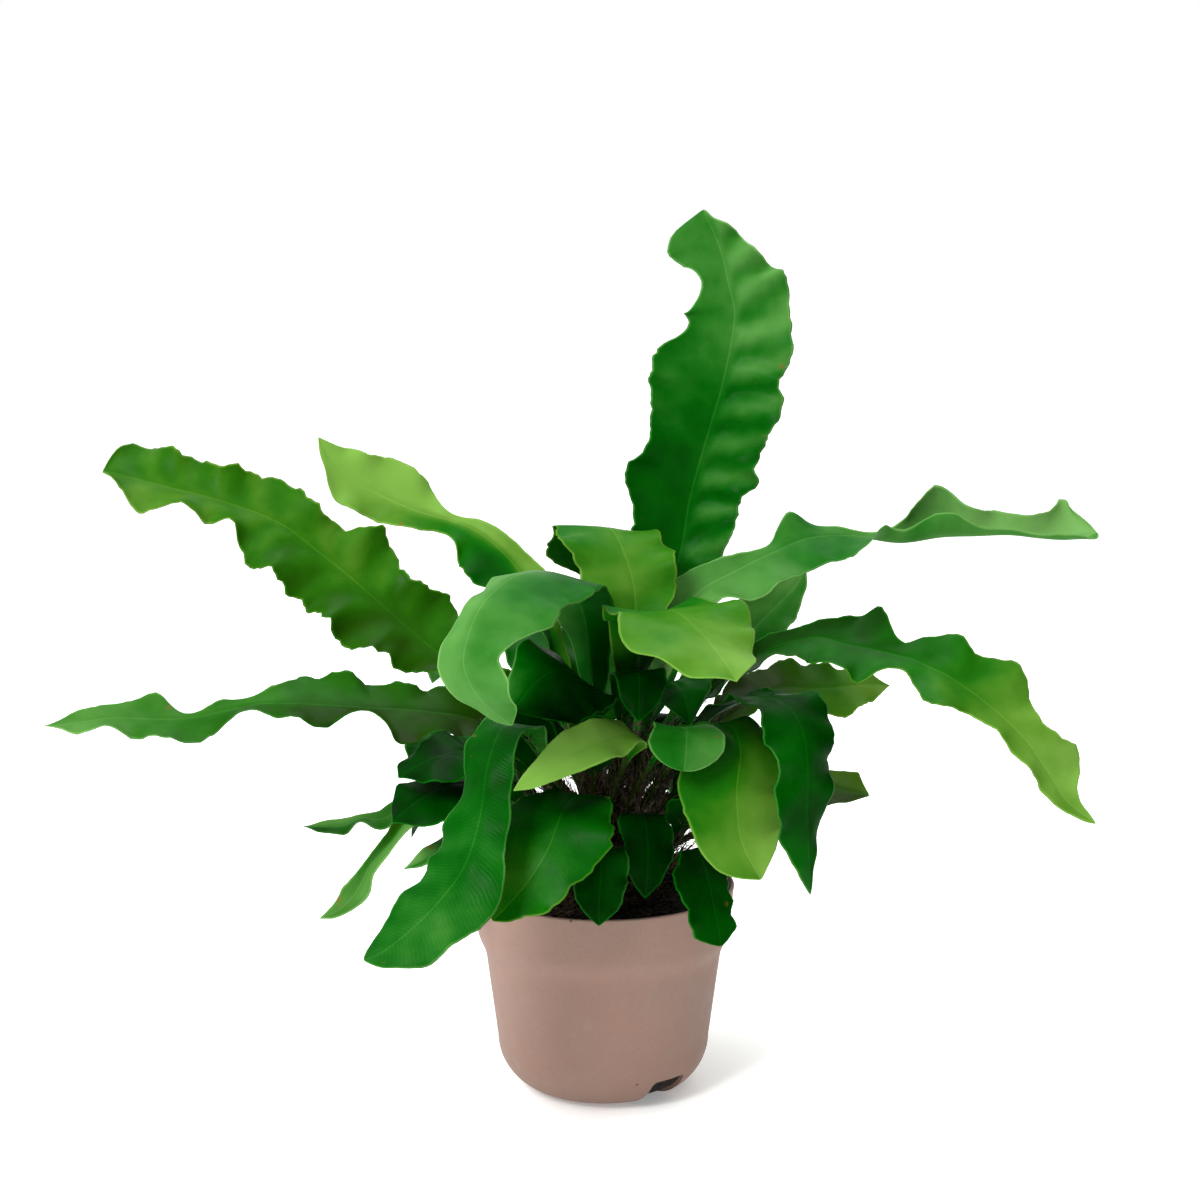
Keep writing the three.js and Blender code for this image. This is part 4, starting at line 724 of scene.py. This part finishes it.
def stalk_scales(curves, draw):
    """The brown scales along the stalks, thinning out upwards."""
    roots, ways, ups = [], [], []
    for curve in curves:
        stalk = curve.opened - HOLE_DEPTH
        count = int(stalk * SCALES_PER_MM)
        s = HOLE_DEPTH + stalk * draw.uniform(0, 1, count) ** SCALE_THINNING
        place, left, normal, _ = curve.frames(s)
        angle = draw.uniform(0, FULL_TURN, count)[:, None]
        out = left * np.cos(angle) + normal * np.sin(angle)
        roots.append(place + out * (STALK_RADIUS - SCALE_SINK))
        ways.append(unit(np.cross(left, normal) + out * draw.uniform(*SCALE_SPREAD, (count, 1))))
        ups.append(out)
    roots, ways, ups = np.concatenate(roots), np.concatenate(ways), np.concatenate(ups)
    low = 1 - smoothstep(roots[:, 2], *SHAG_HEIGHTS)
    lengths = draw.uniform(*SCALE_LENGTH, len(roots)) * (1 + SHAG_LENGTH * low)
    widths = draw.uniform(*SCALE_WIDTH, len(roots)) * (1 + SHAG_WIDTH * low)
    return roots, ways, ups, lengths, widths


def crown_scales(draw):
    """The shaggy scales of the crown, which point outwards and up between the stalks."""
    count = CROWN_SCALES
    radius = CROWN_RADIUS * np.sqrt(draw.uniform(0, 1, count))
    out = level(draw.uniform(0, FULL_TURN, count))
    roots = out * radius[:, None]
    roots[:, 2] = crown_height(radius) - CROWN_ROUGH
    surface = unit(out * (2 * CROWN_FALL * radius[:, None]) + [0, 0, 1])
    ways = unit(surface + draw.normal(size=(count, 3)) * CROWN_SHAG)
    ups = np.cross(ways, np.cross(surface, ways)) + draw.normal(size=(count, 3)) * CROWN_TWIST
    lengths = draw.uniform(*CROWN_SCALE_LENGTH, count)
    return roots, ways, unit(ups), lengths, draw.uniform(*CROWN_SCALE_WIDTH, count)


def scales_piece(curves, material):
    draw = np.random.default_rng(SEED)
    groups = [stalk_scales(curves, draw), crown_scales(draw)]
    points, faces = flakes(*[np.concatenate(parts) for parts in zip(*groups)])
    dress(mesh_object("crown_scales", points, faces, [material], smooth=False), "rootstock")


def dome_piece(material):
    """The crown: a lumpy dome that falls off to all sides and ends down in the peat."""
    bottom = SOIL_TOP - CROWN_SINK
    radii = np.linspace(CROWN_RADIUS, 0, DOME_RINGS)
    outline = [(0, bottom), (CROWN_RADIUS, bottom)] + [(r, crown_height(r)) for r in radii]
    points, faces = turned(outline, DOME_SIDES)
    lump = lumps(points, CROWN_LUMP, SEED) * CROWN_ROUGH
    lump = lump + lumps(points, CROWN_FIBRE, SEED + 1) * CROWN_FINE
    lump *= (np.hypot(points[:, 0], points[:, 1]) > 0) & (points[:, 2] > bottom)
    points += lump[:, None] * unit(points * [1, 1, 0] * 2 * CROWN_FALL + [0, 0, 1])
    rings = points[2:].reshape(-1, DOME_SIDES, 3)
    rings[0, :, :2] = rings[1, :, :2]
    dress(mesh_object("crown_dome", points, faces, [material]), "rootstock", "crown")


# ---- pot


def pot_radius(height):
    """The pot's outer radius above the foot's curve."""
    collar = POT_HEIGHT - COLLAR_DEPTH
    if height > collar:
        return COLLAR_RADIUS + (RIM_RADIUS - COLLAR_RADIUS) * (height - collar) / COLLAR_DEPTH
    if height > collar - STEP_HEIGHT:
        into_step = (height - collar + STEP_HEIGHT) / STEP_HEIGHT
        return WALL_RADIUS + (COLLAR_RADIUS - WALL_RADIUS) * into_step
    rise = (height - FOOT_CURVE) / (collar - STEP_HEIGHT - FOOT_CURVE)
    return FOOT_RADIUS + (WALL_RADIUS - FOOT_RADIUS) * rise


def soft_radius(height):
    """The pot's outer radius with the corners of its step made soft."""
    offsets = np.linspace(-STEP_SOFT, STEP_SOFT, STEP_SAMPLES)
    weights = 1 - np.abs(offsets) / (STEP_SOFT * STEP_SPREAD)
    return float(np.average([pot_radius(height + offset) for offset in offsets], weights=weights))


def pot_outline(inset, floor):
    """The pot's outside, moved inwards, from the middle of a floor up to just below the rim."""
    centre, curve = FOOT_RADIUS - FOOT_CURVE, FOOT_CURVE - inset
    start = acos(min(1, (FOOT_CURVE - floor) / curve))
    outline = [(0, floor)]
    for a in np.linspace(start, pi / 2, ARC_STEPS + 1):
        outline.append((centre + curve * sin(a), FOOT_CURVE - curve * cos(a)))
    heights = np.arange(FOOT_CURVE + WALL_STEP, POT_HEIGHT - RIM_ROUND, WALL_STEP)
    return outline + [(soft_radius(z) - inset, z) for z in heights]


def rim_arc(centre, side):
    """The round of the rim about a centre, outside it (1) or inside it (-1)."""
    low, turns = POT_HEIGHT - RIM_ROUND, np.linspace(0, pi / 2, ROUND_STEPS)
    return [(centre + side * RIM_ROUND * cos(a), low + RIM_ROUND * sin(a)) for a in turns]


def notch_block(margin, azimuth):
    """A block that cuts one notch, with round upper corners, grown by a margin."""
    half, height = NOTCH_WIDTH / 2 + margin, NOTCH_HEIGHT + margin
    radius = NOTCH_ROUND + margin
    outline = [(-half, -height), (half, -height)]
    for centre, start in ((half - radius, 0), (radius - half, pi / 2)):
        for a in np.linspace(start, start + pi / 2, ROUND_STEPS):
            outline.append((centre + radius * cos(a), height - radius + radius * sin(a)))
    near = NOTCH_REACH - margin
    points = np.array([(x, y, z) for x in (near, near + RIM_RADIUS) for y, z in outline], float)
    return mesh_object("notch", spun(points, azimuth), tube_faces(2, len(outline)), [])


def cut(made, cutter):
    """Cuts one mesh object off another one and deletes it."""
    boolean = made.modifiers.new("cut", "BOOLEAN")
    boolean.operation, boolean.solver, boolean.object = "DIFFERENCE", "EXACT", cutter
    bpy.context.view_layer.update()
    evaluated = made.evaluated_get(bpy.context.evaluated_depsgraph_get())
    result = bpy.data.meshes.new_from_object(evaluated)
    made.modifiers.clear()
    made.data = result
    bpy.data.objects.remove(cutter)


def pot_piece(material):
    """The pot: a turned shell with a round rim, a soft step below its collar and its notches."""
    mouth = RIM_RADIUS - WALL + RIM_ROUND
    above = POT_HEIGHT + WALL
    outside = pot_outline(0, 0) + rim_arc(RIM_RADIUS - RIM_ROUND, 1) + [(0, POT_HEIGHT)]
    inside = pot_outline(WALL, FLOOR) + rim_arc(mouth, -1) + [(mouth, above), (0, above)]
    hollow = mesh_object("hollow", *turned(inside, POT_SIDES), [])
    made = mesh_object("pot_shell", *turned(outside, POT_SIDES), [material])
    azimuths = [radians(NOTCH_AZIMUTH + 360 / NOTCHES * i) for i in range(NOTCHES)]
    for azimuth in azimuths:
        cut(hollow, notch_block(HOOD, azimuth))
    cut(made, hollow)
    for azimuth in azimuths:
        cut(made, notch_block(0, azimuth))
    made.data.shade_smooth()
    made.data.set_sharp_from_angle(angle=radians(POT_CREASE))
    dress(made, "pot_plastic", "pot")


# ---- peat


def soil_height(radius, edge):
    """The height of the peat's even surface, which swells up to the middle."""
    return SOIL_TOP + SOIL_SWELL * (1 - (radius / edge) ** 2)


def crumb(edge, draw):
    """The corners of one crumb on the peat."""
    radius = edge * sqrt(draw.uniform(*CRUMB_PLACE))
    angle = draw.uniform(0, FULL_TURN)
    size = CRUMB_LEAST + (CRUMB_MOST - CRUMB_LEAST) * draw.uniform() ** CRUMB_POWER
    height = soil_height(radius, edge) + size * draw.uniform(*CRUMB_RISE)
    corners = unit(draw.normal(size=CUBE.shape) * CRUMB_UNEVEN + CUBE)
    corners = corners * size * draw.uniform(*CRUMB_CORNER, (len(CUBE), 1))
    corners = corners * [1, draw.uniform(*CRUMB_DEPTH), draw.uniform(*CRUMB_FLATNESS)]
    corners = spun(corners, draw.uniform(0, FULL_TURN))
    return corners + [radius * cos(angle), radius * sin(angle), height]


def soil_piece(material):
    """The peat: a rough surface with crumbs on it, in the filled pot."""
    draw = np.random.default_rng(SEED + 2)
    gap = WALL + FIT
    edge = COLLAR_RADIUS + (RIM_RADIUS - COLLAR_RADIUS) * SOIL_EDGE - gap
    wall = [(r, z) for r, z in pot_outline(gap, FLOOR + FIT) if z < SOIL_TOP - SOIL_ROUGH]
    top = [(r, soil_height(r, edge)) for r in np.linspace(edge, 0, SOIL_RINGS)]
    points, faces = turned(wall + top, SOIL_SIDES)
    surface = points[:, 2] > SOIL_TOP - SOIL_ROUGH
    heights = sum(
        lumps(points, length, SEED + 3 + i) * SOIL_LUMP_SHARE for i, length in enumerate(SOIL_LUMPS)
    )
    inside = smoothstep(edge - np.hypot(points[:, 0], points[:, 1]), *SOIL_CALM_BAND)
    points[:, 2] += surface * SOIL_ROUGH * heights * (SOIL_CALM + (1 - SOIL_CALM) * inside)
    parts = [points]
    for i in range(CRUMBS):
        parts.append(crumb(edge, draw))
        faces += shifted(CUBE_FACES, len(points) + len(CUBE) * i)
    made = mesh_object("soil_top", np.concatenate(parts), faces, [material])
    made.data.set_sharp_from_angle(angle=radians(CRUMB_CREASE))
    dress(made, "peat", "soil")


def fibres_piece(material):
    """Bits of root and fibre that lie on the peat: thin bent strands."""
    draw = np.random.default_rng(SEED + 5)
    points, faces = [], []
    for _ in range(FIBRES):
        radius = draw.uniform(*FIBRE_START)
        place = radius * level(draw.uniform(0, FULL_TURN))
        heading, bend = draw.uniform(0, FULL_TURN), draw.normal() * FIBRE_BEND
        thick = draw.uniform(*FIBRE_THICK)
        rings = []
        for step in range(FIBRE_STEPS):
            reach = hypot(place[0], place[1])
            if reach > FIBRE_LIMIT:
                break
            rise = soil_height(reach, FIBRE_SPAN) + SOIL_ROUGH * FIBRE_LIFT
            rise += FIBRE_WAVE * sin(step * FIBRE_BEAT + bend * FIBRE_PHASE)
            side = np.array([-sin(heading), cos(heading), 0])
            for t in np.arange(FIBRE_SIDES) * FULL_TURN / FIBRE_SIDES:
                out = side * cos(t) + np.array([0, 0, sin(t)])
                rings.append(place + [0, 0, rise] + thick * out)
            heading += bend + draw.normal() * FIBRE_WANDER
            place = place + FIBRE_STEP * level(heading)
        if len(rings) < FIBRE_SIDES * FIBRE_LEAST_STEPS:
            continue
        faces += shifted(tube_faces(len(rings) // FIBRE_SIDES, FIBRE_SIDES), len(points))
        points += rings
    dress(mesh_object("soil_fibres", points, faces, [material]), "peat")


# ---- materials

# Greens of the blades at these tones, in linear colour: bluer in old fronds. The old greens' pale,
# bluish light end is partly a painted sheen.
GREEN_TONES = (0.0, 0.2, 0.4, 0.5, 0.6, 0.8, 1.0)
DARK_GREENS = [(0.0001, 0.005, 0.0001), (0.0001, 0.028, 0.0002)]
OLD_GREENS_AND_SHEEN = DARK_GREENS + [
    (0.0008, 0.064, 0.0012),
    (0.0070, 0.089, 0.0050),
    (0.0220, 0.117, 0.0130),
    (0.0560, 0.178, 0.0330),
    (0.1080, 0.255, 0.0600),
]
YOUNG_GREENS = DARK_GREENS + [
    (0.0008, 0.064, 0.0005),
    (0.0045, 0.089, 0.0010),
    (0.0240, 0.119, 0.0045),
    (0.0700, 0.179, 0.0160),
    (0.1200, 0.255, 0.0360),
]
OLIVE = (0.045, 0.080, 0.001)
OLIVE_SHARE = 0.5
STALK_GREEN = (0.016, 0.036, 0.004)
STALK_BROWN = (0.008, 0.007, 0.002)
STALK_MOTTLE = 1.5
BLEMISH = (0.150, 0.065, 0.014)

# Roughness, specular level and greens of the blades.
LEAF_FINISH = {
    "frond_deep": (0.30, 0.014, OLD_GREENS_AND_SHEEN),
    "frond_green": (0.32, 0.022, OLD_GREENS_AND_SHEEN),
    "frond_fresh": (0.36, 0.025, YOUNG_GREENS),
    "frond_olive": (0.40, 0.03, YOUNG_GREENS),
}

# Fronds of the green slot that have turned yellowish, so they look like fresh ones.
YELLOWISH = ("frond_front_right", "frond_right_droop", "frond_arch_back")

# How much patches and mottle change a blade's tone, and how much lighter its underside, veins,
# midrib and margin are. The midrib's reach is in half widths, the other ones are in millimetres.
PATCH_SIZE = 27
PATCH_TONE = 0.4
MOTTLE_SIZE = 5
MOTTLE_TONE = 0.1
UNDER_TONE = 0.05
UNDER_ROUGH = 0.14
RIB_TONE = 0.1
RIB_REACH = (1.4, 0.4)
MARGIN_TONE = 0.26
MARGIN_REACH = (1.3, 0.4)

# The veins and the broad waves of a quilted blade: spacing, distance and strength of their bumps,
# tone, and how they wander. The waves' tone is a painted shade and painted highlight in bands that
# follow the waves. The veins fade at the margin, the waves at the midrib and the stalk's bark where
# the blade opens.
VEIN_SPACING = 1.7
VEIN_BUMP = (0.07, 0.5)
VEIN_TONE = 0.045
VEIN_WANDER = 2.4
WANDER_SIZE = 9
VEIN_REACH = (0.3, 4.0)
VEIN_CREST = (0.5, 1.0)
QUILT_SPACING = 17
QUILT_BUMP = (0.8, 0.8)
QUILT_PAINTED_SHADE = 0.09
QUILT_REACH = (2, 14)
BARK_REACH = (0.05, 0.5)

# The blades' brown blemishes and the pot's dark specks: the mean gap between places that may have
# one; how many gaps wide a group of them is, and the noise above which there is one; and how many
# gaps from its middle a spot ends and is full. Blemishes keep near the margin.
BLEMISHES = (9, (2.5, 0.64), (0.2, 0.1))
BLEMISH_REACH = (6, 0.5)
BLEMISH_SHARE = 0.7
SPECKS = (13, (1.4, 0.62), (0.07, 0.04))
SPECK_SHARE = 0.85

# The pot's taupe as a ramp over its mottle; its grain and scuffs, each with the noise they are made
# of, where that starts and ends, how strong they are and their colour; and the colour of specks.
POT_MOTTLE = (34, 3, 0.55)
POT_PLACES = (0.36, 0.64)
POT_TAUPE = [(0.237, 0.152, 0.119), (0.247, 0.146, 0.114)]
POT_MARKS = [
    ((0.9, 2, 0.7), (0.35, 0.7), 0.3, (0.180, 0.112, 0.086)),
    ((12, 6, 0.7), (0.58, 0.72), 0.25, (0.26, 0.19, 0.155)),
]
POT_SPECK = (0.03, 0.02, 0.015)
POT_SPECULAR = 0.3
FLOOR_WHITES = [(0.93, 0.93, 0.92), (0.95, 0.95, 0.94)]
FLOOR_PATCH = 900
FLOOR_ROUGH = 0.8
FLOOR_SPECULAR = 0.2

# The range that most of the noise lies in.
NOISE_RANGE = (0.3, 0.7)

# The fine relief of blades and pot: layers of noise, each with the distance and the strength of its
# bumps. A noise is its size in millimetres and, where they aren't the usual ones, its detail and
# its roughness.
LEAF_RELIEF = [((6, 3), 0.5, 0.3), ((0.7,), 0.04, 0.3)]
POT_RELIEF = [((0.8,), 0.05, 0.35), ((22,), 0.5, 0.25)]

# The noise in the finish, with the least and the most it adds to a blade's roughness, and with the
# least and the most of the pot's.
LEAF_ROUGH = ((14, 3), -0.08, 0.12)
POT_ROUGH = ((8, 3), 0.56, 0.7)

# The rough brown materials: the noise of the colour; the ramp's places and colours; the size of the
# noise in the roughness, its least and its most; the specular level; and for some their relief.
BROWNS = {
    "peat": (
        (1.8, 5, 0.65),
        (0.35, 0.55, 0.7),
        [(0.0025, 0.0018, 0.0012), (0.008, 0.0055, 0.0035), (0.03, 0.02, 0.012)],
        (3, 0.8, 0.98),
        0.2,
        [((0.9, 4, 0.7), 0.5, 0.8)],
    ),
    "peat_fibre": (
        (6, 3),
        (0.35, 0.65),
        [(0.02, 0.012, 0.006), (0.085, 0.055, 0.028)],
        (2, 0.7, 0.9),
        0.25,
    ),
    "rootstock_bark": (
        (2.2, 5, 0.65),
        (0.35, 0.5, 0.68),
        [(0.006, 0.004, 0.002), (0.03, 0.018, 0.008), (0.09, 0.06, 0.026)],
        (3, 0.75, 0.95),
        0.2,
        [((1.1, 4, 0.65), 0.6, 0.9)],
    ),
    "rootstock_scales": (
        (2.6, 2),
        (0.36, 0.5, 0.64),
        [(0.01, 0.006, 0.002), (0.03, 0.019, 0.007), (0.085, 0.058, 0.022)],
        (2, 0.5, 0.75),
        0.3,
    ),
}


class Tree:
    """The node tree of a material or a world with short ways to add nodes to it."""

    def __init__(self, owner):
        owner.use_nodes = True
        self.owner, self.tree = owner, owner.node_tree
        self.coords = self.add("TexCoord").outputs
        self.place = self.coords["Object"]

    def feed(self, socket, value):
        if isinstance(value, bpy.types.NodeSocket):
            self.tree.links.new(value, socket)
        else:
            socket.default_value = value

    def add(self, kind, inputs=None, **settings):
        node = self.tree.nodes.new("ShaderNode" + kind)
        for key, value in settings.items():
            setattr(node, key, value)
        for key, value in (inputs or {}).items():
            self.feed(node.inputs[key], value)
        return node

    def attribute(self, name):
        return self.add("Attribute", attribute_name=name).outputs["Fac"]

    def noise(self, size, detail=2, rough=0.5):
        """Noise from about 0.3 to 0.7 with features of about that size in millimetres."""
        inputs = {"Scale": 1 / (size * MM), "Detail": detail, "Roughness": rough}
        return self.add("TexNoise", {"Vector": self.place, **inputs}).outputs["Fac"]

    def sum(self, a, b, factor):
        """Value a plus the factor times b."""
        return self.add("Math", {0: b, 1: factor, 2: a}, operation="MULTIPLY_ADD").outputs[0]

    def math(self, operation, a, b=0.0):
        return self.add("Math", {0: a, 1: b}, operation=operation).outputs[0]

    def times(self, a, b):
        return self.math("MULTIPLY", a, b)

    def remap(self, value, low, high, least=0.0, most=1.0, kind="SMOOTHSTEP"):
        """The value's range from low to high made the one from least to most."""
        inputs = {"From Min": low, "From Max": high, "To Min": least, "To Max": most}
        node = self.add("MapRange", {"Value": value, **inputs}, interpolation_type=kind)
        return node.outputs["Result"]

    def wave(self, distance, spacing):
        return self.math("SINE", self.times(distance, FULL_TURN / spacing))

    def spots(self, gap, rare, spot):
        """Small round spots in a few of the places that lie a gap apart."""
        places = self.add("TexVoronoi", {"Vector": self.place, "Scale": 1 / (gap * MM)})
        spread, least = rare
        chosen = self.math("GREATER_THAN", self.noise(gap * spread, 0), least)
        return self.times(self.remap(places.outputs["Distance"], *spot), chosen)

    def ramp(self, value, places, colors):
        node = self.add("ValToRGB", {"Fac": value})
        elements = node.color_ramp.elements
        while len(elements) < len(places):
            elements.new(0.5)
        for element, place, color in zip(elements, places, colors):
            element.position, element.color = place, (*color, 1)
        return node.outputs["Color"]

    def mix(self, share, a, b):
        a, b = [(*c, 1) if isinstance(c, tuple) else c for c in (a, b)]
        return self.add("Mix", {0: share, 6: a, 7: b}, data_type="RGBA").outputs[2]

    def bump(self, height, distance, strength, under=None):
        inputs = {"Height": height, "Distance": distance * MM, "Strength": strength}
        if under:
            inputs["Normal"] = under
        return self.add("Bump", inputs).outputs["Normal"]

    def relief(self, layers, under=None):
        """Layers of noise as bumps, one over the other."""
        for noise, distance, strength in layers:
            under = self.bump(self.noise(*noise), distance, strength, under)
        return under

    def finish(self, color, roughness, normal, specular):
        inputs = self.tree.nodes["Principled BSDF"].inputs
        self.feed(inputs["Base Color"], color)
        self.feed(inputs["Roughness"], roughness)
        self.feed(inputs["Specular IOR Level"], specular)
        if normal:
            self.feed(inputs["Normal"], normal)
        return self.owner


def material_tree(name):
    return Tree(bpy.data.materials.new(name))


def leaf_material(name, gloss, specular, greens):
    """A blade's finish, which reads the attributes of its mesh."""
    tree = material_tree(name)
    names = ("tone", "olive", "veined", "quilted", "opened", "rib", "margin", "vein", "under")
    given, olive, veined, quilted, opened, rib, margin, run, under = map(tree.attribute, names)
    patches = tree.math("SUBTRACT", tree.noise(PATCH_SIZE), 0.5)
    mottle = tree.math("SUBTRACT", tree.noise(MOTTLE_SIZE, detail=3), 0.5)
    wander = tree.sum(run, tree.noise(WANDER_SIZE, detail=1), VEIN_WANDER)
    veins = tree.wave(wander, VEIN_SPACING)
    shown = tree.times(tree.remap(margin, *VEIN_REACH), veined)
    vein = tree.times(tree.remap(veins, *VEIN_CREST), shown)
    # The quilt's waves are bumps and, through the tone, bands of painted shade and painted
    # highlight.
    quilt_bump_and_shade = tree.times(tree.wave(wander, QUILT_SPACING), tree.remap(rib, *QUILT_REACH))
    quilt_bump_and_shade = tree.times(quilt_bump_and_shade, quilted)

    # The given tone holds painted shade and painted sheen besides the blade's own lightness.
    tone = given
    for change, factor in (
        (patches, PATCH_TONE),
        (mottle, MOTTLE_TONE),
        (quilt_bump_and_shade, QUILT_PAINTED_SHADE),
        (under, UNDER_TONE),
        (vein, VEIN_TONE),
        (tree.remap(rib, *RIB_REACH), RIB_TONE),
        (tree.remap(margin, *MARGIN_REACH), MARGIN_TONE),
    ):
        tone = tree.sum(tone, change, factor)
    color = tree.ramp(tone, GREEN_TONES, greens)
    color = tree.mix(olive, color, tree.mix(OLIVE_SHARE, color, OLIVE))

    spot = tree.spots(*BLEMISHES)
    spot = tree.times(spot, tree.remap(margin, *BLEMISH_REACH))
    color = tree.mix(tree.times(spot, BLEMISH_SHARE), color, BLEMISH)
    bark = tree.mix(tree.noise(STALK_MOTTLE, detail=3), STALK_BROWN, STALK_GREEN)
    color = tree.mix(tree.remap(opened, *BARK_REACH), bark, color)

    noise, less, more = LEAF_ROUGH
    rough = tree.remap(tree.noise(*noise), *NOISE_RANGE, gloss + less, gloss + more, "LINEAR")
    rough = tree.sum(rough, under, UNDER_ROUGH)
    normal = tree.bump(tree.times(veins, shown), *VEIN_BUMP)
    normal = tree.bump(quilt_bump_and_shade, *QUILT_BUMP, normal)
    return tree.finish(color, rough, tree.relief(LEAF_RELIEF, normal), specular)


def pot_material():
    """Matte moulded plastic: pinkish taupe with a faint mottle, grain, scuffs and a few specks."""
    tree = material_tree("pot_plastic")
    color = tree.ramp(tree.noise(*POT_MOTTLE), POT_PLACES, POT_TAUPE)
    for noise, places, share, mark in POT_MARKS:
        color = tree.mix(tree.remap(tree.noise(*noise), *places, 0, share), color, mark)
    speck = tree.spots(*SPECKS)
    color = tree.mix(tree.times(speck, SPECK_SHARE), color, POT_SPECK)
    noise, least, most = POT_ROUGH
    rough = tree.remap(tree.noise(*noise), *NOISE_RANGE, least, most, "LINEAR")
    return tree.finish(color, rough, tree.relief(POT_RELIEF), POT_SPECULAR)


def brown_material(name, grain, places, colors, rough, specular, relief=()):
    """One of the rough brown materials, with its columns in the order of their table."""
    tree = material_tree(name)
    color = tree.ramp(tree.noise(*grain), places, colors)
    size, least, most = rough
    roughness = tree.remap(tree.noise(size), *NOISE_RANGE, least, most)
    return tree.finish(color, roughness, tree.relief(relief), specular)


def floor_material():
    """A white that glows a little, so that only the shadow shows."""
    tree = material_tree("floor")
    inputs = tree.tree.nodes["Principled BSDF"].inputs
    tree.feed(inputs["Emission Color"], (1, 1, 1, 1))
    tree.feed(inputs["Emission Strength"], FLOOR_GLOW)
    color = tree.ramp(tree.noise(FLOOR_PATCH), NOISE_RANGE, FLOOR_WHITES)
    return tree.finish(color, FLOOR_ROUGH, None, FLOOR_SPECULAR)


# ---- studio


def area_light(name, place, size, power):
    light = bpy.data.lights.new(name, "AREA")
    light.size, light.energy = size, power
    made = bpy.data.objects.new(name, light)
    made.location = place
    from_target = mathutils.Vector(np.array(place) - np.array(LIGHT_TARGET))
    made.rotation_euler = from_target.to_track_quat("Z", "Y").to_euler()
    bpy.context.scene.collection.objects.link(made)


def sky_light(world):
    """White behind the plant and brighter overhead, darker to the right and behind the camera."""
    tree = Tree(world)
    axes = tree.add("SeparateXYZ", {0: tree.coords["Generated"]}).outputs
    strength = WORLD_LIGHT
    for axis, low, high, added in SKY_CHANGES:
        strength = tree.math("ADD", tree.remap(axes[axis], low, high, 0, added), strength)
    inputs = tree.tree.nodes["Background"].inputs
    tree.feed(inputs["Color"], (1, 1, 1, 1))
    tree.feed(inputs["Strength"], strength)


def studio():
    """The camera in front of the pot and a little above the plant, soft light and a pale floor."""
    scene = bpy.context.scene
    camera = bpy.data.objects.new("camera", bpy.data.cameras.new("camera"))
    camera.data.lens, camera.data.sensor_width = CAMERA_LENS, CAMERA_SENSOR
    camera.data.clip_start, camera.data.clip_end = CAMERA_CLIP
    camera.location = CAMERA_PLACE
    camera.rotation_euler = (radians(90 - CAMERA_PITCH), 0, 0)
    scene.collection.objects.link(camera)
    scene.camera = camera

    scene.world = bpy.data.worlds.new("studio")
    sky_light(scene.world)
    for light in LIGHTS:
        area_light(*light)

    half = FLOOR_HALF / MM
    corners = [(-half, -half, 0), (half, -half, 0), (half, half, 0), (-half, half, 0)]
    mesh_object("floor", corners, [(0, 1, 2, 3)], [floor_material()])
    scene.view_settings.view_transform = "Standard"


def main():
    studio()
    leaf = {slot: leaf_material(slot + "_leaf", *finish) for slot, finish in LEAF_FINISH.items()}
    brown = {name: brown_material(name, *finish) for name, finish in BROWNS.items()}
    curves = [Curve(frond, index) for index, frond in enumerate(read_fronds())]
    for curve in curves:
        look = "frond_fresh" if curve.frond.name in YELLOWISH else curve.frond.slot
        frond_piece(curve, leaf[look])
    dome_piece(brown["rootstock_bark"])
    scales_piece(curves, brown["rootstock_scales"])
    soil_piece(brown["peat"])
    fibres_piece(brown["peat_fibre"])
    pot_piece(pot_material())


main()
